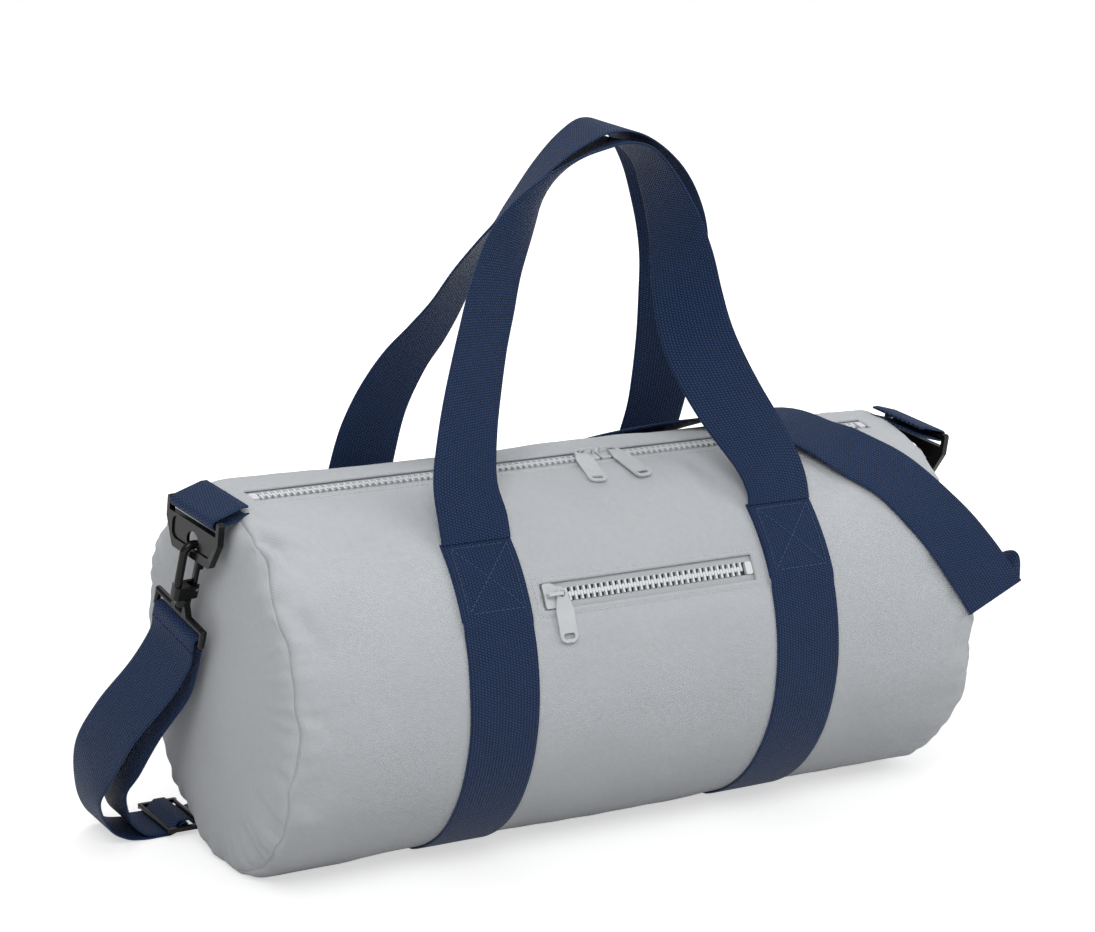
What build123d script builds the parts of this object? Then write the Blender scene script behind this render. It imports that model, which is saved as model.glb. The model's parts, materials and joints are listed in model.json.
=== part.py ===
from build123d import *
from math import atan2, cos, degrees, radians, sin
import os

# Barrel bag: a cloth cylinder on two webbing bands, with zips, two grab handles and a clip-on strap.
# Frame: origin on the floor below the middle of the bag, +X along the barrel towards its right end,
# -Y towards the front (the side with the pocket), +Z up. Millimetres.

# ---- Driving dimensions -------------------------------------------------------------------------
BARREL_LENGTH = 500.0        # seam to seam
BARREL_RADIUS = 125.0        # outside of the cloth
CLOTH = 1.5                  # cloth with its coating and lining
WEBBING_WIDTH = 48.0         # nominal 50 mm webbing
WEBBING = 1.6                # webbing thickness
SEAT = 0.1                   # gap between sewn layers
CLEAR = 0.3                  # gap between pieces that move past each other
FLAT_RISE = 5.6              # how far the barrel is pressed flat where it stands
CAP_BULGE = 12.0             # how far the round ends belly out
SEAM_ALLOWANCE = 12.0        # depth of the bound seam inside each end
BINDING = 1.2                # binding tape over that seam
BAND_CENTRE = 112.0          # bands and handles, from the middle of the bag

HANDLE_ANGLE = 43.0          # upper end of the bands, from the top of the barrel
HANDLE_TAIL_ANGLE = 66.0     # lower end of the handle tails sewn under the bands
HANDLE_LEAN = 19.7           # the standing handles lean inwards and meet

ZIP_ANGLE = 10.0             # main zip, from the top towards the front
ZIP_INSETS = (14.0, 24.0)     # from the end seams to the left and right end of its slit
ZIP_SLOT = 17.0              # slit in the cloth over the chain
TAPE_WIDTH = 15.0            # each half of the zip tape
TAPE = 0.7
TOOTH_PITCH = 4.3
TOOTH_THICK = 2.8
TOOTH_REACH = 1.5            # how far a tooth's head passes the middle of the chain
TOOTH_ROOT = 4.2             # from the middle of the chain to the back of a tooth
TOOTH_HEAD = 2.0             # width of a tooth's head along the chain
TOOTH_NECK = 1.5
STOP_LENGTH = 5.0

POCKET_ANGLE = 62.0          # pocket zip, from the top towards the front
POCKET_START = -78.0
POCKET_END = 78.0
POCKET_DEPTH = 120.0         # pouch below the pocket zip, measured round the barrel
POUCH_CLOTH = 0.6

PARTED = 2.7                 # how far each row of teeth is pushed aside by a slider's wedge
SLIDER_LENGTH = 13.5
SLIDER_HEEL = 10.8           # width where the closed chain leaves the slider
SLIDER_MOUTH = 16.2          # width where the two parted rows enter it
SLIDER_PLATE = 1.2
FLANGE = 0.9
SLIDER_X = (3.0, 18.0)       # the two main sliders stand mouth to mouth
POCKET_SLIDER_X = -70.0
POCKET_OPEN_END = 8.0        # the pocket zip's opened stretch runs out behind its tape's end
BRIDGE_LENGTH = 11.0         # the lug that carries the pull
BRIDGE_OPENING = 3.4
BRIDGE_STOCK = 1.3
BRIDGE_WIDTH = 2.2
PULL_LENGTH = 38.0
POCKET_PULL_LENGTH = 31.0
PULL_WIDTH = 12.5
PULL_THICK = 1.6
PULL_LEAN = 7.0              # the pulls lean down towards the cloth
MAIN_PULL_SWING = (-8.0, 8.0)

CLIP_YAW = 11.0              # the end tabs sit a little askew in their seams
TAB_REACH = 21.0             # from the end seam to the ring's top bar
TAB_DROP = 6.0
RING_BAR = 4.4
RING_WIDTH = 58.0
RING_HEIGHT = 30.0           # from the top bar's middle to the lower edge
RING_SLOT = 5.0
HOLE_DEPTH = 19.4            # from the top bar's middle to the hook's hole
HOLE_RADIUS = 6.5
HOOK_STOCK = 5.5
HOOK_RADIUS = 6.0            # to the middle of the stock
HOOK_SEAT = 8.4              # from the middle of the ring's hole to the hook's crown centre
NOSE_LENGTH = 4.5
HOOK_BODY_DEPTH = 23.0       # from the hook's crown centre to its body
HOOK_BODY = 9.0
NECK_RADIUS = 2.4            # the swivel's shaft and its riveted head
NECK_HEAD = 3.6
NECK_HEAD_THICK = 1.6
EYE_RADIUS = 5.2
EYE_HEIGHT = 4.7
SHAFT_FIT = 0.08
FRAME_BAR = 4.5
FRAME_DEPTH = 43.0           # from the crown centre to the frame's upper bar
FRAME_PITCH = 9.4            # from the upper bar to the strap's bar
FRAME_WIDTH = 58.0
LOOP_TAIL = 6.0
LONG_TAIL = 30.0             # sewn tail of the right loop
PLY_GAP = 0.5                # between a strap loop on a frame and the strap's next stretch
GATE_WIDTH = 4.2
GATE_THICK = 3.4
GATE_PIVOT_DEPTH = 26.0
GATE_PIN = 1.0
HOOK_LEAN = {"left": 10.0, "right": 30.0}

TRIGLIDE = (-254.0, 84.0)    # strap slider on the floor beside the left end
TRIGLIDE_BAR = 3.2
TRIGLIDE_PITCH = 12.0        # between its bars
TRIGLIDE_WIDTH = 58.0
STRAP_LIFT = 2.2             # the strap lies loosely on the barrel

# ---- Worked-out dimensions ----------------------------------------------------------------------
HALF = BARREL_LENGTH / 2
CLOTH_FLOOR = WEBBING + SEAT  # the cloth's underside over the bands; elsewhere it is on the floor
AXIS_Z = BARREL_RADIUS - FLAT_RISE + WEBBING
ZIP_START = -HALF + ZIP_INSETS[0]
ZIP_END = HALF - ZIP_INSETS[1]
TAPE_RADIUS = BARREL_RADIUS - CLOTH - SEAT - TAPE
CHAIN_RADIUS = TAPE_RADIUS + TAPE / 2
BAND_IN = BARREL_RADIUS + SEAT
BAND_OUT = BAND_IN + WEBBING
OVER_IN = BAND_OUT + SEAT
OVER_OUT = OVER_IN + WEBBING
HINGE_RADIUS = OVER_OUT + CLEAR + WEBBING / 2
HINGE_ANGLE = HANDLE_ANGLE - 0.75

parts = {}


def polar(radius, angle):
    """Point (y, z) on the barrel's section; the angle runs from the top towards the front."""
    a = radians(angle)
    return (-radius * sin(a), AXIS_Z + radius * cos(a))


def on_barrel(x, radius, angle):
    y, z = polar(radius, angle)
    return Vector(x, y, z)


def section_arc(radius, a, b):
    mid = polar(radius, (a + b) / 2)
    return ThreePointArc(polar(radius, a), mid, polar(radius, b))


def along_x(flat, x0, x1):
    """Extrude a sketch of (y, z) points from x0 to x1."""
    return extrude(Plane.YZ.offset(x0) * flat, x1 - x0, dir=(1, 0, 0))


def strip(r_in, r_out, a, b, x0, x1):
    """A curved strip that follows the barrel from angle a to angle b."""
    outline = Wire([
        section_arc(r_out, a, b).edge(),
        Line(polar(r_out, b), polar(r_in, b)).edge(),
        section_arc(r_in, b, a).edge(),
        Line(polar(r_in, a), polar(r_out, a)).edge(),
    ])
    return along_x(Face(outline), x0, x1)


def round_section(offset, x0, x1, floor=0.0):
    """The barrel's flat-bottomed section, grown outwards by the offset."""
    disc = Pos(0, AXIS_Z) * Circle(BARREL_RADIUS + offset)
    size = 4 * BARREL_RADIUS
    above = Pos(0, floor - offset + size / 2) * Rectangle(size, size)
    return along_x(disc & above, x0, x1)


def fuse(first, *others):
    body = first
    for other in others:
        body = body + other
    return body


# ---- Cloth body ---------------------------------------------------------------------------------
def slit(angle, x0, x1, width):
    y, z = polar(BARREL_RADIUS, angle)
    box = Box(x1 - x0, width, 6 * CLOTH)
    return Pos((x0 + x1) / 2, y, z) * Rot(angle, 0, 0) * box


def groove(depth, half_width):
    """Room under the barrel for the two bands."""
    size = 2 * BARREL_RADIUS
    return [Pos(x, 0, depth - size / 2) * Box(2 * half_width, size, size) for x in (-BAND_CENTRE, BAND_CENTRE)]


def make_barrel():
    outer = round_section(0, -HALF, HALF)
    inner = round_section(-CLOTH, -HALF - 1, HALF + 1)
    reach = WEBBING_WIDTH / 2 + CLEAR
    for block in groove(CLOTH_FLOOR, reach):
        outer -= block
    for block in groove(CLOTH_FLOOR + CLOTH, reach + CLOTH):
        inner -= block
    shell = outer - inner
    shell -= slit(ZIP_ANGLE, ZIP_START, ZIP_END, ZIP_SLOT)
    shell -= slit(POCKET_ANGLE, POCKET_START, POCKET_END, ZIP_SLOT)
    return shell


def dome(radius, bulge):
    """Solid cap of a sphere on the right end, standing on the plane of the seam."""
    ball = (radius ** 2 + bulge ** 2) / (2 * bulge)
    middle = atan2(radius, ball - bulge) / 2
    centre = HALF + bulge - ball
    arc = ThreePointArc(
        (HALF, radius), (centre + ball * cos(middle), ball * sin(middle)), (HALF + bulge, 0))
    axis_line = Line((HALF + bulge, 0), (HALF, 0))
    outline = Wire([arc.edge(), axis_line.edge(), Line((HALF, 0), (HALF, radius)).edge()])
    half_section = Plane.XZ * Face(outline)
    return Pos(0, 0, AXIS_Z) * revolve(half_section, Axis.X, 360)


def make_cap():
    size = 4 * BARREL_RADIUS
    outer = dome(BARREL_RADIUS, CAP_BULGE)
    inner = dome(BARREL_RADIUS - CLOTH, CAP_BULGE - CLOTH)
    cap = outer - inner
    floor = Pos(HALF, 0, -size / 2) * Box(size, size, size)
    sole = round_section(0, HALF, HALF + CAP_BULGE) & outer
    sole &= Pos(HALF, 0, CLOTH / 2) * Box(size, size, CLOTH)
    return (cap - floor) + sole


def make_binding():
    outer = -CLOTH - SEAT
    ring = round_section(outer, HALF - SEAM_ALLOWANCE, HALF) - round_section(outer - BINDING, 0, HALF + 1)
    tapes = 2 * (TOOTH_ROOT + SEAT + TAPE_WIDTH + CLEAR)
    clear = slit(ZIP_ANGLE, HALF - 2 * SEAM_ALLOWANCE, HALF + 1, tapes)
    return ring - clear


def mirror_x(shape):
    return mirror(shape, Plane.YZ)


# ---- Bands and handle tails ---------------------------------------------------------------------
def make_band(x0, x1):
    """One webbing band: round under the barrel, and out over the handle tails on both sides."""
    join = HANDLE_TAIL_ANGLE + 1.0
    ramp = join + 2.5
    lower = round_section(BAND_OUT - BARREL_RADIUS, x0, x1, CLOTH_FLOOR)
    lower -= round_section(SEAT, x0 - 1, x1 + 1, CLOTH_FLOOR)
    reach = 2 * BARREL_RADIUS
    apex = (0, AXIS_Z)
    wedge = Wire.make_polygon([
        Vector(*apex), Vector(reach * -sin(radians(ramp)), AXIS_Z + reach * cos(radians(ramp))),
        Vector(-reach * 1.2, AXIS_Z + 2 * reach), Vector(reach * 1.2, AXIS_Z + 2 * reach),
        Vector(reach * sin(radians(ramp)), AXIS_Z + reach * cos(radians(ramp)))])
    lower -= along_x(Face(wedge), x0 - 1, x1 + 1)
    band = lower
    for side in (1, -1):
        over = strip(OVER_IN, OVER_OUT, side * HANDLE_ANGLE, side * join, x0, x1)
        slope = Wire.make_polygon([
            Vector(*polar(OVER_OUT, side * join)), Vector(*polar(BAND_OUT, side * ramp)),
            Vector(*polar(BAND_IN, side * ramp)), Vector(*polar(OVER_IN, side * join))])
        band = fuse(band, over, along_x(Face(slope), x0, x1))
    return band


def make_tail(side, x0, x1):
    """The sewn end of a handle under its band, with a lip that carries the standing handle."""
    lip = HANDLE_ANGLE - 0.4
    lip_width = degrees(WEBBING / BARREL_RADIUS)
    flat = strip(BAND_IN, BAND_OUT, side * (lip - lip_width), side * HANDLE_TAIL_ANGLE, x0, x1)
    turn = strip(BAND_IN, OVER_OUT, side * (lip - lip_width), side * lip, x0, x1)
    return flat + turn


# ---- Webbing ribbons ----------------------------------------------------------------------------
def smooth(values, i, t):
    """Catmull-Rom value between entries i and i + 1."""
    a = values[max(i - 1, 0)]
    b = values[i]
    c = values[i + 1]
    d = values[min(i + 2, len(values) - 1)]
    return (b * 2 + (c - a) * t + (a * 2 - b * 5 + c * 4 - d) * t ** 2
            + (b * 3 - a - c * 3 + d) * t ** 3) * 0.5


def smoothed(stations, steps=3):
    """The stations of a ribbon with more of them in between, on a smooth curve."""
    centres = [Vector(*c) for c, _ in stations]
    across = [Vector(*w).normalized() for _, w in stations]
    path = []
    for i in range(len(stations) - 1):
        for k in range(steps):
            path.append((smooth(centres, i, k / steps), smooth(across, i, k / steps)))
    path.append((centres[-1], across[-1]))
    return path


def ribbon(path):
    """A webbing strip through (centre, width direction) stations, as a ruled loft."""
    sections = []
    for n, (point, direction) in enumerate(path):
        ahead = path[min(n + 1, len(path) - 1)][0] - path[max(n - 1, 0)][0]
        wide = direction.normalized()
        w = wide * (WEBBING_WIDTH / 2)
        h = wide.cross(ahead).normalized() * (WEBBING / 2)
        sections.append(Wire.make_polygon([point + w + h, point - w + h, point - w - h, point + w - h]))
    return Solid.make_loft(sections, ruled=True)


# Points of the standing handles: place along the bag, height up the leaning plane, and twist.
FRONT_HANDLE = [
    (-112, 12, 0), (-113, 34, 8), (-108, 57, 14), (-99, 86, 20), (-86, 120, 25), (-74, 148, 28),
    (-58, 179, 36), (-37, 203, 54), (-10, 227, 84), (15, 242, 104), (34, 247, 110), (52, 238, 97),
    (61, 218, 80), (67, 191, 64), (69, 166, 54), (69, 137, 44), (73, 104, 32), (87, 68, 16),
    (105, 34, 3), (112, 12, 0)]
REAR_HANDLE = [
    (-112, 12, 0), (-109, 42, -4), (-102, 69, -10), (-91, 93, -16), (-78, 112, -22), (-66, 134, -30),
    (-56, 161, -40), (-41, 190, -52), (-26, 211, -61), (-12, 230, -67), (5, 247, -73), (24, 257, -76),
    (46, 251, -72), (71, 226, -56), (90, 194, -38), (102, 162, -24), (108, 127, -14), (112, 90, -6),
    (114, 45, 0), (112, 12, 0)]


def handle_axis(side):
    y, z = polar(HINGE_RADIUS, side * HINGE_ANGLE)
    return Vector(0, y, z)


def make_handle(side, points):
    """A standing handle: both feet hinge on their lips, and the grip is turned flat on top."""
    foot = handle_axis(side)
    lean = radians(HANDLE_LEAN)
    rise = Vector(0, side * sin(lean), cos(lean))
    normal = Vector(0, -cos(lean), side * sin(lean))
    stations = []
    for i, (x, s, twist) in enumerate(points):
        before = points[max(i - 1, 0)]
        after = points[min(i + 1, len(points) - 1)]
        run = (Vector(1, 0, 0) * (after[0] - before[0]) + rise * (after[1] - before[1])).normalized()
        flat = run.cross(normal).normalized()
        t = radians(twist)
        centre = foot + Vector(x, 0, 0) + rise * s
        stations.append((centre, flat * cos(t) - normal * sin(t) * side))
    body = ribbon(smoothed(stations))
    for x in (-BAND_CENTRE, BAND_CENTRE):
        tip = points[0][1]
        leg = Box(WEBBING_WIDTH, WEBBING, tip, align=(Align.CENTER, Align.CENTER, Align.MIN))
        knuckle = Rot(0, 90, 0) * Cylinder(WEBBING / 2, WEBBING_WIDTH)
        base = Pos(x, foot.Y, foot.Z) * Rot(-side * HANDLE_LEAN, 0, 0)
        body = fuse(body, base * leg, base * knuckle)
    return body


# ---- Zips ---------------------------------------------------------------------------------------
def tooth(direction):
    """One moulded tooth: a waisted neck on the tape's edge and a wider hooking head."""
    root = -direction * TOOTH_ROOT
    waist = -direction * TOOTH_REACH
    tip = direction * TOOTH_REACH
    outline = Wire.make_polygon([
        Vector(-TOOTH_NECK / 2, root), Vector(-TOOTH_NECK / 2, waist), Vector(-TOOTH_HEAD / 2, 0),
        Vector(-TOOTH_NECK / 2, tip), Vector(TOOTH_NECK / 2, tip), Vector(TOOTH_HEAD / 2, 0),
        Vector(TOOTH_NECK / 2, waist), Vector(TOOTH_NECK / 2, root)])
    return Pos(0, 0, -TOOTH_THICK / 2) * extrude(Face(outline), TOOTH_THICK, dir=(0, 0, 1))


def chain_place(angle, x, lift=0.0):
    """Frame on the chain: X along the zip, Y towards the top of the barrel, Z outwards."""
    y, z = polar(CHAIN_RADIUS + lift, angle)
    return Pos(x, y, z) * Rot(angle, 0, 0)


def aside(x, openings):
    """How far a row is parted at x: nothing in the closed chain, PARTED between wedge and opening."""
    most = 0.0
    for start, full_start, full_end, end in openings:
        if start < x <= full_start:
            most = max(most, PARTED * (x - start) / (full_start - start))
        elif full_start < x < full_end:
            most = max(most, PARTED)
        elif full_end <= x < end:
            most = max(most, PARTED * (end - x) / (end - full_end))
    return most


def tooth_row(angle, x0, x1, front, openings):
    """A row of teeth; it swings aside wherever a slider's wedge has opened the chain."""
    direction = 1 if front else -1
    offset = 0 if front else TOOTH_PITCH / 2
    count = int((x1 - x0 - offset) / TOOTH_PITCH)
    row = []
    for i in range(count + 1):
        x = x0 + offset + i * TOOTH_PITCH
        row.append(chain_place(angle, x) * Pos(0, -direction * aside(x, openings), 0) * tooth(direction))
    return Compound(children=row)


def make_tape(angle, x0, x1, front, openings):
    """One half of the zip tape; its edge gives way where the teeth are parted."""
    side = 1 if front else -1
    inner = degrees((TOOTH_ROOT + SEAT) / CHAIN_RADIUS)
    outer = inner + degrees(TAPE_WIDTH / CHAIN_RADIUS)
    tape = strip(TAPE_RADIUS, TAPE_RADIUS + TAPE, angle + side * inner, angle + side * outer, x0, x1)
    room = TOOTH_ROOT + SEAT
    for start, full_start, full_end, end in openings:
        notch = Wire.make_polygon([
            Vector(start - TOOTH_HEAD, 0), Vector(start - TOOTH_HEAD, room),
            Vector(full_start - TOOTH_HEAD, room + PARTED), Vector(full_end + TOOTH_HEAD, room + PARTED),
            Vector(end + TOOTH_HEAD, room), Vector(end + TOOTH_HEAD, 0)])
        block = Pos(0, 0, -TOOTH_THICK) * extrude(Face(notch), 2 * TOOTH_THICK, dir=(0, 0, 1))
        if front:
            block = mirror(block, Plane.XZ)
        tape -= chain_place(angle, 0) * block
    return tape


def make_stop(angle, x, towards):
    block = Box(STOP_LENGTH, 2 * TOOTH_ROOT, TOOTH_THICK)
    return chain_place(angle, x + towards * STOP_LENGTH / 2) * fillet(block.edges().filter_by(Axis.Z), 1.0)


HALF_GAP = TOOTH_THICK / 2 + CLEAR
WEDGE = 1.8                  # half length of the wedge between the rows
WEDGE_THICK = 1.4
WEDGE_X = SLIDER_LENGTH / 2 - WEDGE - 1.2
HEEL_END = -1.5              # where the slider starts to widen, and the rows to part
SHOULDER = 2.2               # where it is at full width


def slider_outline(mouth, narrower=0.0):
    """Half-width steps from the heel to the mouth, as a closed outline."""
    heel = SLIDER_HEEL / 2 - narrower
    wide = SLIDER_MOUTH / 2 - narrower
    end = SLIDER_LENGTH / 2
    upper = [(-end, heel), (HEEL_END - TOOTH_NECK, heel), (SHOULDER - TOOTH_NECK, wide), (end, wide)]
    points = upper + [(x, -y) for x, y in reversed(upper)]
    return Face(Wire.make_polygon([Vector(mouth * x, y) for x, y in points]))


def make_slider(mouth):
    """A zip slider: two plates on a wedge, side flanges over the tapes, and a lug for the pull.

    The wedge stands at the mouth end, where the two rows of teeth part.
    """
    outline = slider_outline(mouth)
    plate_face = fillet(outline.vertices(), 1.2)
    flange_face = plate_face - slider_outline(mouth, FLANGE)
    flange_face -= Pos(mouth * SLIDER_LENGTH / 2, 0) * Rectangle(2.4, SLIDER_MOUTH - 2 * FLANGE)
    flange_height = HALF_GAP - TAPE / 2 - CLEAR
    wedge = extrude(Pos(mouth * WEDGE_X, 0) * Ellipse(WEDGE, WEDGE_THICK / 2), 2 * HALF_GAP, dir=(0, 0, 1))
    body = Pos(0, 0, -HALF_GAP) * wedge
    for level, flange_level in ((HALF_GAP, HALF_GAP - flange_height), (-HALF_GAP - SLIDER_PLATE, -HALF_GAP)):
        body += Pos(0, 0, level) * extrude(plate_face, SLIDER_PLATE, dir=(0, 0, 1))
        body += Pos(0, 0, flange_level) * extrude(flange_face, flange_height, dir=(0, 0, 1))
    return body + Pos(0, 0, HALF_GAP + SLIDER_PLATE) * make_bridge()


def make_bridge():
    """The arched lug on top of a slider; it stands along the chain."""
    height = BRIDGE_OPENING + BRIDGE_STOCK
    arch = Pos(0, height / 2) * Rectangle(BRIDGE_LENGTH, height)
    arch = fillet(arch.vertices().group_by(Axis.Y)[-1], 1.6)
    window = Pos(0, BRIDGE_OPENING / 2) * Rectangle(BRIDGE_LENGTH - 2 * BRIDGE_STOCK, BRIDGE_OPENING)
    lug = extrude(Plane.XZ * (arch - window), BRIDGE_WIDTH, dir=(0, -1, 0))
    return Pos(0, BRIDGE_WIDTH / 2, 0) * lug


LEG_X = (BRIDGE_LENGTH - BRIDGE_STOCK) / 2
EYE_HOLE = 1.9               # the pull's eye, round one leg of the lug
EYE_RIM = 3.6
PULL_HEIGHT = HALF_GAP + SLIDER_PLATE + 1.9


def make_pull(length):
    """A flat tab with its eye round a leg of the lug; it hangs towards -Y, with a hole near its end."""
    neck = Wire.make_polygon([
        Vector(-EYE_RIM, 0), Vector(-PULL_WIDTH / 2, -10.0), Vector(-PULL_WIDTH / 2, -length),
        Vector(PULL_WIDTH / 2, -length), Vector(PULL_WIDTH / 2, -10.0), Vector(EYE_RIM, 0)])
    blank = Face(neck)
    blank = fillet(blank.vertices().group_by(Axis.Y)[0], 4.5)
    blank = blank + Circle(EYE_RIM)
    blank -= Circle(EYE_HOLE)
    blank -= Pos(0, -length + 4.2) * SlotOverall(PULL_WIDTH - 4.5, 3.6)
    return extrude(Pos(0, 0, -PULL_THICK / 2) * blank, PULL_THICK, dir=(0, 0, 1))


def pull_place(angle, x, leg, swing):
    """The pull's frame: Z is its hinge, through a leg of the lug; swing turns it along the barrel."""
    y, z = polar(CHAIN_RADIUS + PULL_HEIGHT, angle)
    return Pos(x + leg * LEG_X, y, z) * Rot(angle + PULL_LEAN, 0, 0) * Rot(0, 0, swing)


# ---- Pocket -------------------------------------------------------------------------------------
def make_pouch():
    """The pocket bag that hangs inside the barrel behind the pocket zip."""
    start = POCKET_ANGLE - degrees((TAPE_WIDTH + 8) / BARREL_RADIUS)
    end = POCKET_ANGLE + degrees(POCKET_DEPTH / BARREL_RADIUS)
    outer = TAPE_RADIUS - SEAT
    room = 2 * HALF_GAP + SLIDER_PLATE + 1.0
    x0, x1 = POCKET_START - 8, POCKET_END + 8
    skin = strip(outer - room, outer, start, end, x0, x1)
    space = strip(outer - room + POUCH_CLOTH, outer - POUCH_CLOTH, start + 0.4, end - 0.4, x0 + 1, x1 - 1)
    opening = degrees((SLIDER_MOUTH / 2 + 1) / CHAIN_RADIUS)
    mouth = strip(outer - 2 * POUCH_CLOTH, outer + 1, POCKET_ANGLE - opening, POCKET_ANGLE + opening,
                  POCKET_START, POCKET_END)
    return skin - space - mouth


# ---- Clip hardware ------------------------------------------------------------------------------
def clip_frames(end):
    """Local frames of one end's hardware: Y points away from the bag, Z up, X along the bar."""
    side = -1 if end == "left" else 1
    yaw = radians(CLIP_YAW)
    slope = radians(ZIP_ANGLE)
    forward = Vector(sin(yaw), -cos(yaw) * cos(slope), -cos(yaw) * sin(slope))
    local_x = forward * side
    down = (Vector(0, 0, -1) - forward * Vector(0, 0, -1).dot(forward)).normalized()
    y, z = polar(BARREL_RADIUS, ZIP_ANGLE)
    bar = Vector(side * (HALF + TAB_REACH), y, z - TAB_DROP)
    ring = Plane(bar, x_dir=local_x, z_dir=-down)
    hole = ring.location * Pos(0, 0, -HOLE_DEPTH)
    crown = hole * Rot(0, -HOOK_LEAN[end], 0) * Pos(0, 0, -HOOK_SEAT)
    return ring.location, crown


def rod(length, radius):
    return Rot(0, 90, 0) * Cylinder(radius, length)


def make_ring():
    """A moulded tri-ring: a round top bar, a rimmed web with the hook's hole, rounded corners."""
    low = RING_WIDTH * 0.36
    shoulder = RING_BAR / 2 + RING_SLOT
    outline = Wire.make_polygon([
        Vector(-RING_WIDTH / 2, RING_BAR / 2), Vector(-RING_WIDTH / 2, -shoulder - 5),
        Vector(-low, -RING_HEIGHT), Vector(low, -RING_HEIGHT),
        Vector(RING_WIDTH / 2, -shoulder - 5), Vector(RING_WIDTH / 2, RING_BAR / 2)])
    blank = Face(outline)
    blank = fillet(blank.vertices(), 2.0)
    slot = Pos(0, -(RING_BAR / 2 + RING_SLOT / 2)) * Rectangle(RING_WIDTH - 6, RING_SLOT)
    bar_strip = Pos(0, 0) * Rectangle(RING_WIDTH - 6, RING_BAR + 0.02)
    hole = Pos(0, -HOLE_DEPTH) * Circle(HOLE_RADIUS)
    web_face = blank - slot - bar_strip - hole
    web = extrude(Plane.XZ.offset(-1.1) * web_face, 2.2)
    window = Pos(0, -shoulder - 9.2) * RectangleRounded(RING_WIDTH - 14, 15.0, 5.0)
    rim = extrude(Plane.XZ.offset(-RING_BAR / 2) * (blank - slot - bar_strip - window - hole), RING_BAR)
    return fuse(web, rim, rod(RING_WIDTH - 5, RING_BAR / 2))


def make_tab(end):
    """The webbing loop that holds the ring: two plies from the seam round the ring's bar."""
    side = -1 if end == "left" else 1
    place, _ = clip_frames(end)
    inner = RING_BAR / 2 + CLEAR
    outer = inner + WEBBING
    reach = TAB_REACH + 6.0
    ring = Circle(outer) - Circle(inner)
    far = Pos(0, 0) * Rectangle(4 * outer, 4 * outer, align=(Align.MIN, Align.CENTER))
    loop = ring & far
    plies = Pos(-reach / 2, (inner + outer) / 2) * Rectangle(reach, WEBBING)
    plies += Pos(-reach / 2, -(inner + outer) / 2) * Rectangle(reach, WEBBING)
    tilt = degrees(atan2(TAB_DROP, TAB_REACH))
    profile = extrude(Plane.YZ.offset(-WEBBING_WIDTH / 2) * (loop + plies), WEBBING_WIDTH)
    tab = place * Rot(-tilt, 0, 0) * profile
    reach_in = round_section(WEBBING, -HALF - 1, HALF + 1)
    ends = Pos(side * (HALF + CAP_BULGE), 0, AXIS_Z)
    keep = Box(2 * (CAP_BULGE + 3 * TAB_REACH), 4 * BARREL_RADIUS, 4 * BARREL_RADIUS)
    cut = (tab & (ends * keep)) - reach_in - (dome_for(end, SEAT))
    return max(cut.solids(), key=lambda solid: solid.volume)


def dome_for(end, grow):
    cap = dome(BARREL_RADIUS + grow, CAP_BULGE + grow)
    return cap if end == "right" else mirror_x(cap)


def make_hook():
    """Swivel snap hook without its gate: shank, crown, nose, body and the neck of the swivel."""
    foot = -HOOK_BODY_DEPTH - 2
    crown = ThreePointArc((HOOK_RADIUS, 0), (0, HOOK_RADIUS), (-HOOK_RADIUS, 0))
    shank = Line((HOOK_RADIUS, foot), (HOOK_RADIUS, 0))
    nose = Line((-HOOK_RADIUS, 0), (-HOOK_RADIUS, -NOSE_LENGTH))
    path = Plane.YZ * Wire([shank.edge(), crown.edge(), nose.edge()])
    start = Plane(Vector(0, HOOK_RADIUS, foot), z_dir=(0, 0, 1))
    bend = sweep(start * Circle(HOOK_STOCK / 2), path)
    block = Box(HOOK_BODY, 2 * HOOK_RADIUS + HOOK_STOCK, HOOK_BODY)
    block = fillet(block.edges().filter_by(Axis.Z), 3.0)
    block = Pos(0, 0, -HOOK_BODY_DEPTH - HOOK_BODY / 2) * block
    neck_end = EYE_TOP - EYE_HEIGHT - CLEAR - NECK_HEAD_THICK
    neck_start = -HOOK_BODY_DEPTH - HOOK_BODY + 1
    neck = Cylinder(NECK_RADIUS, neck_start - neck_end, align=(Align.CENTER, Align.CENTER, Align.MIN))
    head = Cylinder(NECK_HEAD, NECK_HEAD_THICK, align=(Align.CENTER, Align.CENTER, Align.MIN))
    notch = Box(GATE_WIDTH + 2 * CLEAR, 9.0, 2 * (GATE_PIVOT_DEPTH - HOOK_BODY_DEPTH) + 5.0)
    notch = Pos(0, -HOOK_RADIUS, -HOOK_BODY_DEPTH) * notch
    body = fuse(bend, block, Pos(0, 0, neck_end) * neck, Pos(0, 0, neck_end) * head)
    return body - notch - GATE_PIVOT * rod(HOOK_BODY + 2, GATE_PIN)


EYE_TOP = -HOOK_BODY_DEPTH - HOOK_BODY - CLEAR
GATE_PIVOT = Pos(0, -HOOK_RADIUS, -GATE_PIVOT_DEPTH)


def make_gate():
    """The sprung tongue that closes the hook, with a thumb nub on its outer side."""
    tip = -NOSE_LENGTH - CLEAR
    length = tip + GATE_PIVOT_DEPTH
    bar = Box(GATE_WIDTH, GATE_THICK, length)
    bar = Pos(0, -HOOK_RADIUS, tip - length / 2) * fillet(bar.edges().filter_by(Axis.Z), 1.2)
    heel = GATE_PIVOT * rod(GATE_WIDTH, GATE_THICK / 2)
    nub = fillet(Box(GATE_WIDTH, 3.6, 4.0).edges().filter_by(Axis.X), 0.9)
    nub = Pos(0, -HOOK_RADIUS - GATE_THICK / 2, tip - 6.0) * nub
    return fuse(bar, heel, nub) - GATE_PIVOT * rod(GATE_WIDTH + 2, GATE_PIN + SHAFT_FIT)


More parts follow.
